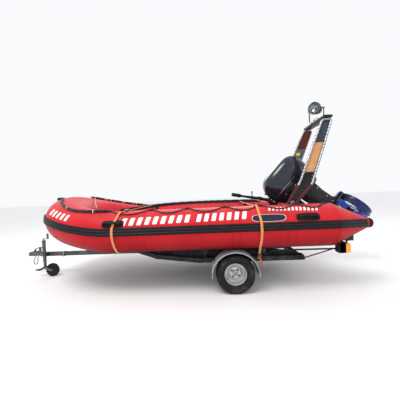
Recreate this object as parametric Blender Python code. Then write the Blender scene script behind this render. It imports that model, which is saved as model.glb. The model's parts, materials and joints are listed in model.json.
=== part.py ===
"""An inflatable inshore rescue boat with a tilted tiller outboard and a rear
equipment rack, strapped down on its single-axle launching trailer.

Metres, +Z up. X runs from the bow (-X) to the stern (+X), port is -Y.
Lengthwise places are given from the wheel axle and moved by AXLE_X, which puts
the origin under the middle of the whole outline, on the ground.
"""

import math

import bmesh
import bpy
from mathutils import Matrix, Vector

AXLE_X = 0.5224
GAP = 0.0003

# Buoyancy tube: one U from stern to stern, level aft and rising at the bow
TUBE_RADIUS = 0.248
TUBE_SIDES = 32
TUBE_HALF_SPREAD = 0.735
TUBE_Z = 0.747
BOW_START_X = -1.466
BOW_LENGTH = 0.877
STEM_X = BOW_START_X - BOW_LENGTH
BOW_RISE = 0.167
BOW_RISE_POWER = 1.35
BOW_SWELL = 0.037
CONE_START_X = 1.13
CONE_END_X = 1.55
CONE_END_RADIUS = 0.055
CAP_END_X = 1.603
CUT_CLEARANCE = 0.0008

STRAKE_HEIGHT = 0.09
STRAKE_DEPTH = 0.02
STRAKE_SEAT = 0.006
STRAKE_END_X = 1.51
STRAKE_ANGLE = 7.0
BOW_HANDLE_ANGLE = 52.0
STRAP_WIDTH = 0.028
STRAP_DEPTH = 0.003
LINE_RADIUS = 0.007
PAD_LINE_RADIUS = 0.014
LINE_HOLDS = (-1.46, -0.95, -0.53, -0.09, 0.32, 0.73, 1.05)

FLOOR_TOP = 0.58
FLOOR_BOTTOM = 0.5403
FLOOR_FRONT_X = -1.69
KEEL_Z = 0.376
SKIN_INSET = 0.03
TRANSOM_X = 0.93
TRANSOM_DEPTH = 0.04
TRANSOM_TOP = 0.895

# Outboard: its own upright frame has its origin on the tilt pin
TILT_X = 0.963
TILT_Z = 0.946
TILT_ANGLE = 48.0
STEER_X = 0.10
COWL_FRONT = -0.135
COWL_BACK = 0.56
COWL_HALF_WIDTH = 0.185
SEAM_Z = 0.25
PLATE_Z = -0.43
PROP_Z = -0.688
PROP_RADIUS = 0.155
RING_RADIUS = 0.232
RING_FRONT = 0.488
RING_BACK = 0.594
TILLER_HINGE = (-0.175, 0.315)
TILLER_RISE = 59.0
TILLER_LENGTH = 0.555

# Rear equipment rack
RACK_HALF_SPREAD = 0.305
RACK_TUBE = 0.016
RACK_FACE = RACK_HALF_SPREAD - RACK_TUBE * math.cos(math.radians(18)) - GAP
RACK_LEAN = 0.09
RACK_FORWARD_LEG = ((0.71, 0.5805), (0.71, 0.90), (0.941, 1.271), (1.119, 1.703), (1.282, 2.088))
RACK_AFT_LEG = ((1.404, 2.088), (1.273, 1.717), (1.088, 1.229), (0.80, 0.91), (0.80, 0.5805))
PANEL_BOTTOM = 1.262
PANEL_LOW_SEAM = 1.393
PANEL_HIGH_SEAM = 1.779
PANEL_TOP = 2.03
PANEL_DEPTH = 0.012
TOP_BEAM_Z = 2.1043
SEARCHLIGHT_TURN = 45.0

# Trailer
RAIL_TOP = 0.36
RAIL_BOTTOM = 0.30
RAIL_WIDTH = 0.05
RAIL_SPREAD = 0.60
RAIL_END_X = 0.87
SUPPORT_PLACES = (-0.345, 0.345)
DRAWBAR_FRONT_X = -2.87
REAR_BEAM_X = 0.80
CABLE_RADIUS = 0.0035
WHEEL_RADIUS = 0.2245
WHEEL_Y = 0.802
TYRE_WIDTH = 0.195
RIM_RADIUS = 0.127
GUARD_RADIUS = 0.274
GUARD_Z = 0.2165
GUARD_WALL = 0.003

JOCKEY_X = -2.83
JOCKEY_Y = -0.062
JOCKEY_WHEEL_RADIUS = 0.10
JOCKEY_TRAIL = 0.118


def material(name, colour, roughness, metallic=0.0):
    made = bpy.data.materials.new(name)
    made.use_nodes = True
    shader = made.node_tree.nodes["Principled BSDF"]
    shader.inputs["Base Color"].default_value = (*colour, 1.0)
    shader.inputs["Roughness"].default_value = roughness
    shader.inputs["Metallic"].default_value = metallic
    return made


def clear_scene():
    for old in list(bpy.data.objects):
        bpy.data.objects.remove(old, do_unlink=True)


def mesh_from(verts, faces):
    """A closed mesh with its faces pointing out."""
    bm = bmesh.new()
    made = [bm.verts.new(v) for v in verts]
    for face in faces:
        bm.faces.new([made[i] for i in face])
    bmesh.ops.recalc_face_normals(bm, faces=bm.faces)
    mesh = bpy.data.meshes.new("shape")
    bm.to_mesh(mesh)
    bm.free()
    return mesh


def rings_mesh(rings, closed=False):
    """A skin over rings of equal point counts, capped at both ends unless closed."""
    count = len(rings[0])
    verts = [point for ring in rings for point in ring]
    faces = []
    steps = len(rings) if closed else len(rings) - 1
    for i in range(steps):
        a = i * count
        b = ((i + 1) % len(rings)) * count
        for k in range(count):
            n = (k + 1) % count
            faces.append((a + k, a + n, b + n, b + k))
    if not closed:
        faces.append(tuple(reversed(range(count))))
        faces.append(tuple(range((len(rings) - 1) * count, len(rings) * count)))
    return mesh_from(verts, faces)


def box(low, high):
    (x0, y0, z0), (x1, y1, z1) = low, high
    return rings_mesh([[(x0, y0, z), (x1, y0, z), (x1, y1, z), (x0, y1, z)] for z in (z0, z1)])


def prism(outline, low, high, along="Y"):
    """An outline in the plane across the given axis, extruded from low to high along it."""
    place = {
        "X": lambda a, b, t: (t, a, b),
        "Y": lambda a, b, t: (a, t, b),
        "Z": lambda a, b, t: (a, b, t),
    }[along]
    return rings_mesh([[place(a, b, t) for a, b in outline] for t in (low, high)])


def circle(radius, sides, phase=0.5):
    step = 2 * math.pi / sides
    return [(radius * math.cos((k + phase) * step), radius * math.sin((k + phase) * step)) for k in range(sides)]


def sweep(points, section, up=(0.0, 0.0, 1.0)):
    """The section carried along straight runs that meet in mitres. Section x lies sideways, y along up."""
    path = [Vector(p) for p in points]
    runs = [(b - a).normalized() for a, b in zip(path, path[1:])]
    upright = abs(runs[0].normalized().dot(Vector(up).normalized())) > 0.99
    side = runs[0].cross(Vector((1.0, 0.0, 0.0) if upright else up)).normalized()
    top = side.cross(runs[0]).normalized()
    rings = []
    for i, point in enumerate(path):
        before = runs[max(i - 1, 0)]
        after = runs[min(i, len(runs) - 1)]
        if i > 1:
            turn = runs[i - 2].rotation_difference(runs[i - 1])
            side = turn @ side
            top = turn @ top
        plane = (before + after).normalized()
        ring = []
        for a, b in section:
            offset = side * a + top * b
            ring.append(point + offset - before * (offset.dot(plane) / before.dot(plane)))
        rings.append(ring)
    return rings_mesh(rings)


def pipe(points, radius, sides=12):
    return sweep(points, circle(radius, sides))


def rounded(points, radius, steps=4):
    """Points with each inner corner replaced by an arc that leaves it by the given length."""
    path = [Vector(p) for p in points]
    out = [path[0]]
    for before, corner, after in zip(path, path[1:], path[2:]):
        start = corner + (before - corner).normalized() * radius
        end = corner + (after - corner).normalized() * radius
        for k in range(steps + 1):
            t = k / steps
            out.append(start * (1 - t) ** 2 + corner * (2 * t * (1 - t)) + end * t ** 2)
    out.append(path[-1])
    return out


def turned(profile, centre, axis="Y", sides=32, phase=0.5):
    """A profile of (radius, along) points turned about an axis. It starts and ends on the axis, or closes on itself."""
    on_axis = profile[0][0] == 0
    inner = profile[1:-1] if on_axis else profile
    place = {
        "X": lambda r, t, c, s: (t, r * c, r * s),
        "Y": lambda r, t, c, s: (r * c, t, r * s),
        "Z": lambda r, t, c, s: (r * c, r * s, t),
    }[axis]
    verts = []
    for k in range(sides):
        angle = 2 * math.pi * (k + phase) / sides
        for r, t in inner:
            verts.append(Vector(place(r, t, math.cos(angle), math.sin(angle))))
    count = len(inner)
    faces = []
    for k in range(sides):
        a = k * count
        b = ((k + 1) % sides) * count
        for i in range(count if not on_axis else count - 1):
            n = (i + 1) % count
            faces.append((a + i, a + n, b + n, b + i))
    if on_axis:
        for end, row in ((0, 0), (-1, count - 1)):
            verts.append(Vector(place(0.0, profile[end][1], 1.0, 0.0)))
            pole = len(verts) - 1
            for k in range(sides):
                faces.append((k * count + row, ((k + 1) % sides) * count + row, pole))
    centre = Vector(centre)
    return mesh_from([v + centre for v in verts], faces)


def moved(mesh, matrix):
    mesh.transform(matrix)
    return mesh


def mirrored(mesh):
    """The same shape on the other side of the boat."""
    other = mesh.copy()
    other.transform(Matrix.Scale(-1, 4, Vector((0, 1, 0))))
    other.flip_normals()
    return other


def helper(mesh):
    obj = bpy.data.objects.new("helper", mesh)
    bpy.context.scene.collection.objects.link(obj)
    return obj


def combined(first, others, operation):
    """The mesh that Booleans of the others make of the first."""
    base = helper(first)
    tools = [helper(mesh) for mesh in others]
    for tool in tools:
        modifier = base.modifiers.new("join", "BOOLEAN")
        modifier.operation = operation
        modifier.solver = "EXACT"
        modifier.object = tool
    bpy.context.view_layer.update()
    graph = bpy.context.evaluated_depsgraph_get()
    result = bpy.data.meshes.new_from_object(base.evaluated_get(graph))
    for obj in [base] + tools:
        bpy.data.objects.remove(obj, do_unlink=True)
    return result


def fused(first, *others):
    return combined(first, others, "UNION")


def cut(first, *others):
    return combined(first, others, "DIFFERENCE")


def node(name, mesh, finish, parent=None, smooth=35.0):
    """One named sub-part. Its mesh is given from the axle and keeps its place under a parent on its joint."""
    obj = bpy.data.objects.new(name, mesh)
    mesh.name = name
    bpy.context.scene.collection.objects.link(obj)
    mesh.materials.clear()
    mesh.materials.append(finish)
    mesh.shade_smooth()
    mesh.set_sharp_from_angle(angle=math.radians(smooth))
    if parent is None:
        mesh.transform(Matrix.Translation((AXLE_X, 0, 0)))
    else:
        obj.parent = parent
    return obj


def pivot(name, place, parent=None, tilt=0.0):
    """An empty on a joint's axis. Its place is from the axle, or in its parent's frame."""
    empty = bpy.data.objects.new(name, None)
    bpy.context.scene.collection.objects.link(empty)
    if parent is None:
        empty.location = (place[0] + AXLE_X, place[1], place[2])
    else:
        empty.location = place
        empty.parent = parent
    empty.rotation_euler = (0.0, -math.radians(tilt), 0.0)
    return empty


# Hull

def bow_turn(x):
    """Angle of the elliptical bow in plan at x: 0 where it starts, 90 degrees at the stem."""
    return math.asin(min(max((BOW_START_X - x) / BOW_LENGTH, 0.0), 1.0))


def tube_centre(x):
    """Port centre line at x: half spread, height and the outward normal in plan."""
    t = bow_turn(x)
    spread = TUBE_HALF_SPREAD * math.cos(t)
    rise = max((BOW_START_X - x) / BOW_LENGTH, 0.0)
    height = TUBE_Z + BOW_RISE * rise ** BOW_RISE_POWER
    normal = Vector((-TUBE_HALF_SPREAD * math.sin(t), -BOW_LENGTH * math.cos(t), 0)).normalized()
    return Vector((x, -spread, height)), normal


def tube_radius(x):
    if x > CONE_START_X:
        share = (x - CONE_START_X) / (CONE_END_X - CONE_START_X)
        return TUBE_RADIUS + (CONE_END_RADIUS - TUBE_RADIUS) * share
    return TUBE_RADIUS + BOW_SWELL * math.sin(bow_turn(x)) ** 2


def on_tube(x, angle, proud=0.0):
    """A port point on the tube at x. The angle in degrees is 0 on the outer side and 90 on top."""
    centre, normal = tube_centre(x)
    a = math.radians(angle)
    return centre + (normal * math.cos(a) + Vector((0, 0, 1)) * math.sin(a)) * (tube_radius(x) + proud)


def tube_stations(aft_end):
    """Places along the port side, from aft_end to the stem."""
    straight = [x for x in (aft_end, 1.42, 1.32, 1.22, CONE_START_X, 0.6, -0.4) if x <= aft_end]
    steps = 13
    bow = [BOW_START_X - BOW_LENGTH * math.sin(math.pi / 2 * k / steps) for k in range(steps + 1)]
    return straight + bow


def around_the_bow(aft_end, ring_at):
    """Rings from the port stern round the stem to the starboard stern."""
    port = [ring_at(x) for x in tube_stations(aft_end)]
    starboard = [[Vector((p.x, -p.y, p.z)) for p in ring] for ring in reversed(port[:-1])]
    return port + starboard


def tube_mesh(extra=0.0):
    def ring(x):
        return [on_tube(x, 360.0 * k / TUBE_SIDES, extra) for k in range(TUBE_SIDES)]

    return rings_mesh(around_the_bow(CONE_END_X, ring))


def strake_mesh(cutter):
    segments = 4

    def ring(x):
        half = math.degrees(math.asin(STRAKE_HEIGHT / 2 / tube_radius(x)))
        inner = [on_tube(x, STRAKE_ANGLE + half * (2 * k / segments - 1), -STRAKE_SEAT) for k in range(segments + 1)]
        outer_half = half * 0.86
        outer = [
            on_tube(x, STRAKE_ANGLE + outer_half * (1 - 2 * k / segments), STRAKE_DEPTH) for k in range(segments + 1)
        ]
        return inner + outer

    return cut(rings_mesh(around_the_bow(STRAKE_END_X, ring)), cutter)


def hull_bottom_mesh(cutter):
    # columns: x from the axle, keel height, top height
    stations = (
        (TRANSOM_X - GAP, KEEL_Z + 0.004, FLOOR_BOTTOM - GAP),
        (-1.0, KEEL_Z, FLOOR_BOTTOM - GAP),
        (-1.55, KEEL_Z, FLOOR_BOTTOM - GAP),
        (FLOOR_FRONT_X - GAP, 0.378, FLOOR_BOTTOM - GAP),
        (FLOOR_FRONT_X - 0.001, 0.378, 0.62),
        (-1.85, 0.382, 0.65),
        (-2.0, 0.386, 0.69),
        (-2.15, 0.402, 0.73),
        (-2.25, 0.430, 0.77),
        (-2.30, 0.470, 0.79),
    )
    rings = []
    for x, keel, top in stations:
        centre, _ = tube_centre(x)
        half = -centre.y - SKIN_INSET
        side = centre.z - tube_radius(x) - 0.005
        rings.append([(x, -half, top), (x, -half, side), (x, 0, keel), (x, half, side), (x, half, top)])
    return cut(rings_mesh(rings), cutter)


def floor_mesh(cutter):
    xs = (TRANSOM_X - GAP, BOW_START_X, -1.55, -1.62, FLOOR_FRONT_X)
    port = [(x, tube_centre(x)[0].y) for x in xs]
    outline = port + [(x, -y) for x, y in reversed(port)]
    return cut(prism(outline, FLOOR_BOTTOM, FLOOR_TOP, "Z"), cutter)


def transom_mesh(cutter):
    half = TUBE_HALF_SPREAD
    notch = 0.20
    outline = (
        (0, KEEL_Z + 0.004), (half - SKIN_INSET, 0.496), (half, 0.60), (half, 0.93), (notch + 0.07, 0.93),
        (notch, TRANSOM_TOP), (-notch, TRANSOM_TOP), (-notch - 0.07, 0.93), (-half, 0.93), (-half, 0.60),
        (SKIN_INSET - half, 0.496),
    )
    return cut(prism(outline, TRANSOM_X, TRANSOM_X + TRANSOM_DEPTH, "X"), cutter)


def stern_cap_mesh():
    start = CONE_END_X + GAP
    profile = [
        (0, start), (0.056, start), (0.058, start + 0.012), (0.05, CAP_END_X - 0.01), (0.036, CAP_END_X), (0, CAP_END_X),
    ]
    return turned(profile, (0, -TUBE_HALF_SPREAD, TUBE_Z), "X", 20)


def grab_handle_mesh(x, angle, cutter):
    """A moulded hand loop on a patch that lies on the tube."""
    half = 0.105
    grip = [
        on_tube(x - half, angle, 0.004), on_tube(x - half, angle, 0.028), on_tube(x - half * 0.75, angle, 0.040),
        on_tube(x + half * 0.75, angle, 0.040), on_tube(x + half, angle, 0.028), on_tube(x + half, angle, 0.004),
    ]
    spread = 10.0
    rings = []
    for px in (x - half - 0.02, x + half + 0.02):
        inner = [on_tube(px, angle + spread * (k / 2 - 1), -0.006) for k in range(5)]
        outer = [on_tube(px, angle + spread * (1 - k / 2), 0.0090) for k in range(5)]
        rings.append(inner + outer)
    return cut(fused(rings_mesh(rings), pipe(grip, 0.011, 8)), cutter)


def lifeline_points():
    """Port lifeline and its radii: padded from the stem to the first patch, thin and in shallow scallops aft."""
    points = []
    radii = []
    start, end = -2.262, LINE_HOLDS[0] - 0.02
    high, low = 84.0, 57.0
    for k in range(16):
        t = k / 15
        angle = high - 4.0 - 20.0 * math.sin(math.pi * t) ** 1.2
        points.append(on_tube(start + (end - start) * t, angle, PAD_LINE_RADIUS + 0.0015))
        radii.append(PAD_LINE_RADIUS)
    for a, b in zip(LINE_HOLDS, LINE_HOLDS[1:]):
        steps = max(3, round((b - a) / 0.052))
        for k in range(steps):
            t = k / steps
            angle = high - (high - low) * math.sin(math.pi * t) ** 0.9
            points.append(on_tube(a + (b - a) * t, angle, LINE_RADIUS + 0.0025))
            radii.append(LINE_RADIUS)
    points.append(on_tube(LINE_HOLDS[-1], high, LINE_RADIUS + 0.0025))
    radii.append(LINE_RADIUS)
    return points, radii


def rope(name, points, radii, finish, resolution=2):
    """A held cord as a curve with round section and closed ends."""
    curve = bpy.data.curves.new(name, "CURVE")
    curve.dimensions = "3D"
    curve.bevel_depth = max(radii)
    curve.bevel_resolution = resolution
    curve.use_fill_caps = True
    spline = curve.splines.new("POLY")
    spline.points.add(len(points) - 1)
    for place, point, radius in zip(spline.points, points, radii):
        place.co = (point[0] + AXLE_X, point[1], point[2], 1.0)
        place.radius = radius / max(radii)
    curve.materials.append(finish)
    obj = bpy.data.objects.new(name, curve)
    bpy.context.scene.collection.objects.link(obj)
    return obj


def strap_mesh(x_top, x_low, crossing, shoulder, under, hook):
    """A flat strap from the port hook over both tubes to the starboard hook.
    It crosses over the lifeline at one angle, then follows the shoulder list, the strake and the list under the tube."""
    reach = STRAKE_DEPTH + 0.0045
    over_line = 2 * LINE_RADIUS + 0.0075
    # columns: angle round the tube, height over it
    wrap = (
        (90, 0.0021), (crossing + 13, 0.0045), (crossing + 7, over_line), (crossing, over_line),
        (crossing - 7, over_line), *shoulder, (STRAKE_ANGLE + 10, reach), (STRAKE_ANGLE, reach),
        (STRAKE_ANGLE - 10, reach), *under,
    )

    def across(point, normal, along):
        wide, thick = along * STRAP_WIDTH / 2, normal * STRAP_DEPTH / 2
        return [point - wide - thick, point + wide - thick, point + wide + thick, point - wide + thick]

    port = []
    for angle, proud in wrap:
        x = x_top + (x_low - x_top) * min((90 - angle) / 75, 1.0)
        plan = tube_centre(x)[1]
        turn = math.radians(angle)
        normal = plan * math.cos(turn) + Vector((0, 0, 1)) * math.sin(turn)
        port.append(across(on_tube(x, angle, proud), normal, Vector((-plan.y, plan.x, 0))))
    port.append(across(Vector(hook), normal, Vector((1, 0, 0))))
    starboard = [[Vector((p.x, -p.y, p.z)) for p in ring] for ring in port]
    return rings_mesh(list(reversed(port)) + starboard)


def hull(finish):
    cutter = tube_mesh(CUT_CLEARANCE)
    node("buoyancy_tube", tube_mesh(), finish["red"], smooth=50)
    node("rubbing_strake", strake_mesh(cutter), finish["black"])
    node("hull_bottom", hull_bottom_mesh(cutter), finish["dark"])
    node("floor", floor_mesh(cutter), finish["grey"])
    node("transom", transom_mesh(cutter), finish["black"])
    cap = stern_cap_mesh()
    node("stern_cap_starboard", mirrored(cap), finish["black"])
    node("stern_cap_port", cap, finish["black"])
    # columns: name, x from the axle, angle round the tube
    for name, x, angle in (("fore", -1.36, 29.0), ("aft", 0.795, 29.0)):
        grip = grab_handle_mesh(x, angle, cutter)
        node(f"grab_handle_starboard_{name}", mirrored(grip), finish["black"])
        node(f"grab_handle_port_{name}", grip, finish["black"])
    for side, sign in (("port", 1), ("starboard", -1)):
        line, radii = lifeline_points()
        rope(f"lifeline_{side}", [Vector((p.x, p.y * sign, p.z)) for p in line], radii, finish["black"])
    node("bow_handle", bow_handle_mesh(cutter), finish["black"])


def bow_handle_mesh(cutter):
    """A thick loop that stands on the front of the stem, square to the tube."""
    seat = on_tube(STEM_X, BOW_HANDLE_ANGLE)
    loop = [(0, -0.10, -0.02), (0, -0.085, 0.055), (0, 0.085, 0.055), (0, 0.10, -0.02)]
    grip = pipe(rounded(loop, 0.03, 3), 0.016, 10)
    pad = box((-0.045, -0.13, -0.03), (0.045, 0.13, 0.010))
    turn = Matrix.Rotation(math.radians(BOW_HANDLE_ANGLE - 90.0), 4, "Y")
    return cut(moved(fused(pad, grip), Matrix.Translation(seat) @ turn), cutter)


# Rear equipment rack

def leaned(mesh):
    """The mesh with its foot spread outboard, so that both side frames lean in to the top beam."""
    for vert in mesh.vertices:
        spread = RACK_LEAN * (TOP_BEAM_Z - vert.co.z)
        vert.co.y += spread * max(-1.0, min(vert.co.y / (RACK_FACE - 0.09), 1.0))
    return mesh


def rack_frame_mesh(side):
    y = side * RACK_HALF_SPREAD
    path = [(x, y, z) for x, z in RACK_FORWARD_LEG + RACK_AFT_LEG]
    legs = pipe(rounded(path, 0.035, 3), RACK_TUBE, 10)
    feet = [
        box((x - 0.045, y - 0.04, FLOOR_TOP + GAP), (x + 0.045, y + 0.04, FLOOR_TOP + 0.008)) for x in (0.71, 0.80)
    ]
    return leaned(fused(legs, *feet))


def leg_x(leg, z):
    """Where a leg of the rack is at height z."""
    for (x0, z0), (x1, z1) in zip(leg, leg[1:]):
        if min(z0, z1) <= z <= max(z0, z1) and z0 != z1:
            return x0 + (x1 - x0) * (z - z0) / (z1 - z0)
    return leg[0][0]


def rack_panel_mesh(side):
    """The board on the inner face of a side frame, from leg to leg."""
    face = side * RACK_FACE
    heights = (PANEL_BOTTOM, PANEL_LOW_SEAM, PANEL_HIGH_SEAM, PANEL_TOP)
    outline = [(leg_x(RACK_FORWARD_LEG, z), z) for z in heights]
    outline += [(leg_x(RACK_AFT_LEG, z), z) for z in reversed(heights)]
    return leaned(prism(outline, face - side * PANEL_DEPTH, face))


def rack(finish):
    for side, sign in (("port", -1), ("starboard", 1)):
        node(f"rack_frame_{side}", rack_frame_mesh(sign), finish["aluminium"])
        node(f"rack_panel_{side}", rack_panel_mesh(sign), finish["orange"])
    brace = [(0.71, -RACK_FACE, 0.70), (0.71, RACK_FACE, 0.70)]
    node("rack_brace", leaned(pipe(brace, 0.014, 10)), finish["aluminium"])
    searchlight(finish)
    base = TOP_BEAM_Z + 0.0343
    dome = [(0, base), (0.02, base), (0.02, base + 0.036), (0.014, base + 0.056), (0, base + 0.061)]
    node("nav_light", turned(dome, (1.38, -0.20, 0), "Z", 16), finish["white"])
    face = RACK_FACE - PANEL_DEPTH - GAP
    lens = [
        (0, face), (0.042, face), (0.042, face - 0.008), (0.034, face - 0.008), (0.031, face - 0.020),
        (0.018, face - 0.028), (0, face - 0.030),
    ]
    node("blue_lamp", leaned(turned(lens, (1.15, 0, 1.56), "Y", 16)), finish["blue"])


def searchlight(finish):
    x, z, radius = 1.345, 2.322, 0.086
    base = TOP_BEAM_Z + 0.033
    arm = radius + 0.012
    stirrup = fused(
        box((-0.028, -arm - 0.005, base), (0.028, arm + 0.005, base + 0.007)),
        box((-0.014, -arm - 0.005, base), (0.014, -arm, z + 0.016)),
        box((-0.014, arm, base), (0.014, arm + 0.005, z + 0.016)),
    )
    turn = Matrix.Translation((x, 0, 0)) @ Matrix.Rotation(math.radians(SEARCHLIGHT_TURN), 4, "Z")
    beam = box((1.290, -0.335, TOP_BEAM_Z), (1.405, 0.335, TOP_BEAM_Z + 0.034))
    node("rack_top_beam", fused(beam, moved(stirrup, turn)), finish["black"])
    hinge = pivot("searchlight_pivot", (x, 0, z))
    hinge.rotation_euler = (0.0, 0.0, math.radians(SEARCHLIGHT_TURN))
    profile = [
        (0, -0.088), (0.07, -0.094), (radius, -0.09), (radius, -0.05), (radius - 0.006, -0.044),
        (radius - 0.012, 0.05), (0.055, 0.085), (0, 0.09),
    ]
    drum = turned(profile, (0, 0, 0), "X", 28)
    pin = pipe([(0, -arm + GAP, 0), (0, arm - GAP, 0)], 0.009, 10)
    node("searchlight", fused(drum, pin), finish["black"], hinge)


# Outboard, in its upright frame with the tilt pin at the origin

def cowl_ring(z, front, back, half, sides=24, square=0.72):
    """A rounded plan outline of the engine at one height."""
    middle, length = (front + back) / 2, (back - front) / 2
    ring = []
    for k in range(sides):
        a = 2 * math.pi * (k + 0.5) / sides
        c, s = math.cos(a), math.sin(a)
        ring.append((
            middle + length * math.copysign(abs(c) ** square, c),
            half * math.copysign(abs(s) ** square, s),
            z,
        ))
    return ring


def cowl_mesh():
    # columns: height over the seam, front, back, half width
    levels = (
        (GAP, 0.0, 0.0, 0.0), (0.06, -0.008, 0.004, 0.004), (0.16, 0.006, -0.004, 0.002),
        (0.235, 0.045, -0.03, -0.014), (0.285, 0.105, -0.085, -0.045), (0.311, 0.19, -0.17, -0.095),
    )
    rings = [
        cowl_ring(SEAM_Z + up, COWL_FRONT + front, COWL_BACK + back, COWL_HALF_WIDTH + wide)
        for up, front, back, wide in levels
    ]
    return rings_mesh(rings)


def lower_cowl_mesh():
    # columns: height, front, back, half width
    levels = (
        (SEAM_Z, -0.13, 0.553, 0.18), (0.19, -0.125, 0.548, 0.176), (0.11, -0.07, 0.54, 0.15),
        (0.04, 0.035, 0.532, 0.115), (-0.02, 0.05, 0.50, 0.085),
    )
    return rings_mesh([cowl_ring(z, front, back, half) for z, front, back, half in levels])


def blade(points, half_front, half_middle, half_back):
    """A leg section: columns are height, leading x, trailing x, half width."""
    rings = []
    for z, front, back, half in points:
        length = back - front
        rings.append([
            (front, -half * half_front, z), (front + length * 0.25, -half, z),
            (front + length * 0.65, -half * half_middle, z), (back, -half * half_back, z), (back, half * half_back, z),
            (front + length * 0.65, half * half_middle, z), (front + length * 0.25, half, z), (front, half * half_front, z),
        ])
    return rings_mesh(rings)


def leg_mesh():
    housing = blade(
        (
            (-0.021, 0.145, 0.44, 0.062), (-0.18, 0.16, 0.435, 0.052), (-0.35, 0.16, 0.45, 0.046),
            (PLATE_Z + 0.004, 0.155, 0.485, 0.05),
        ),
        0.45, 0.9, 0.5,
    )
    plate = prism(
        (
            (0.09, -0.045), (0.15, -0.10), (0.42, -0.11), (0.575, -0.075), (0.575, 0.075), (0.42, 0.11), (0.15, 0.10),
            (0.09, 0.045),
        ),
        PLATE_Z - 0.006, PLATE_Z + 0.006, "Z",
    )
    lower = blade(
        ((PLATE_Z - 0.004, 0.15, 0.44, 0.042), (-0.56, 0.14, 0.40, 0.034), (PROP_Z, 0.12, 0.40, 0.03)),
        0.3, 0.85, 0.3,
    )
    torpedo = turned(
        [(0, 0.075), (0.022, 0.085), (0.042, 0.12), (0.052, 0.19), (0.052, 0.40), (0.045, 0.488), (0, 0.488)],
        (0, 0, PROP_Z), "X", 16,
    )
    skeg = prism(
        ((0.19, PROP_Z - 0.03), (0.40, PROP_Z - 0.03), (0.395, -0.82), (0.36, -0.895), (0.30, -0.895)), -0.007, 0.007
    )
    return fused(housing, plate, lower, torpedo, skeg)


def guard_mesh():
    """Ring round the propeller, held to the plate above, the skeg below and the hub by flat spokes."""
    inside = RING_RADIUS - 0.012
    ring = turned(
        [(inside, RING_FRONT), (RING_RADIUS, RING_FRONT - 0.004), (RING_RADIUS, RING_BACK), (inside, RING_BACK)],
        (0, 0, PROP_Z), "X", 36,
    )
    over, under = PLATE_Z + 0.0063, PROP_Z + RING_RADIUS
    top = prism(
        (
            (0.4853, over), (0.5755, over), (0.5755, under - 0.004), (0.594, under - 0.004), (0.594, over + 0.014),
            (0.56, over + 0.030), (0.4853, over + 0.024),
        ),
        -0.02, 0.02,
    )
    base = PROP_Z - RING_RADIUS
    lug = prism(
        ((0.545, base + 0.004), (0.592, base + 0.004), (0.594, -0.955), (0.57, -0.965), (0.552, -0.94)), -0.008, 0.008
    )
    foot = prism(
        (
            (0.3968, -0.80), (0.50, base + 0.008), (0.53, base + 0.008), (0.53, base - 0.001), (0.47, base - 0.005),
            (0.3762, -0.862), (0.3957, -0.8202),
        ),
        -0.008, 0.008,
    )
    return fused(ring, lug, foot, top)


def propeller_mesh():
    hub = turned([(0, GAP), (0.034, GAP), (0.04, 0.03), (0.03, 0.09), (0, 0.10)], (0, 0, 0), "X", 16)
    # columns: radius, chord, pitch angle in degrees, thickness
    stations = ((0.025, 0.07, 62, 0.010), (0.075, 0.095, 48, 0.007), (0.12, 0.10, 38, 0.005), (PROP_RADIUS, 0.05, 32, 0.003))
    section = ((-1, -0.3), (0, -1), (1, -0.3), (1, 0.3), (0, 1), (-1, 0.3))
    blades = []
    for k in range(3):
        rings = []
        for radius, chord, pitch, thick in stations:
            lean = Vector((math.sin(math.radians(90 - pitch)), math.cos(math.radians(90 - pitch)), 0))
            flat = Vector((lean.y, -lean.x, 0))
            middle = Vector((0.052, 0, radius))
            rings.append([middle + lean * (chord / 2 * a) + flat * (thick / 2 * b) for a, b in section])
        blades.append(moved(rings_mesh(rings), Matrix.Rotation(2 * math.pi * k / 3, 4, "X")))
    return fused(hub, *blades)


def clamp_bracket_mesh():
    """Two jaws over the transom, joined by the tilt pin and the front plate."""
    to_local = Vector((-TILT_X, 0, -TILT_Z))
    x0 = TRANSOM_X - GAP + to_local.x
    x1 = TRANSOM_X + TRANSOM_DEPTH + GAP + to_local.x
    rest = TRANSOM_TOP + GAP + to_local.z
    jaws = []
    for side in (-1, 1):
        low, high = sorted((side * 0.072, side * 0.098))
        outline = (
            (x0 - 0.014, -0.19), (x0, -0.19), (x0, rest), (x1, rest), (x1, -0.30), (x1 + 0.016, -0.30),
            (x1 + 0.030, rest), (0.022, 0.024), (-0.022, 0.026), (x0 - 0.014, rest),
        )
        jaws.append(prism(outline, low, high))
        jaws.append(pipe([(x0 - 0.06, side * 0.085, -0.15), (x0 - 0.006, side * 0.085, -0.15)], 0.009, 10))
        jaws.append(box((x0 - 0.068, side * 0.085 - 0.03, -0.157), (x0 - 0.058, side * 0.085 + 0.03, -0.143)))
    pin = pipe([(0, -0.11, 0), (0, 0.11, 0)], 0.0105, 12)
    bridge = box((x1 + 0.001, -0.09, -0.296), (x1 + 0.013, 0.09, -0.262))
    return fused(jaws[0], *jaws[1:], pin, bridge)


def swivel_mesh():
    """The block that turns on the tilt pin and carries the steering tube."""
    ear = turned([(0.0112, -0.066), (0.026, -0.066), (0.026, 0.066), (0.0112, 0.066)], (0, 0, 0), "Y", 24)
    pin_hole = pipe([(0, -0.1, 0), (0, 0.1, 0)], 0.0112, 24)
    arm = cut(box((0.012, -0.045, -0.024), (STEER_X - 0.01, 0.045, 0.012)), pin_hole)
    tube = turned(
        [(0.0155, -0.33), (0.027, -0.33), (0.027, 0.018), (0.0155, 0.018)], (STEER_X, 0, 0), "Z", 24
    )
    web = box((0.05, -0.018, -0.25), (STEER_X - 0.018, 0.018, -0.01))
    return cut(fused(ear, arm, tube, web), pipe([(STEER_X, 0, -0.34), (STEER_X, 0, 0.03)], 0.0155, 24))


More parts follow.
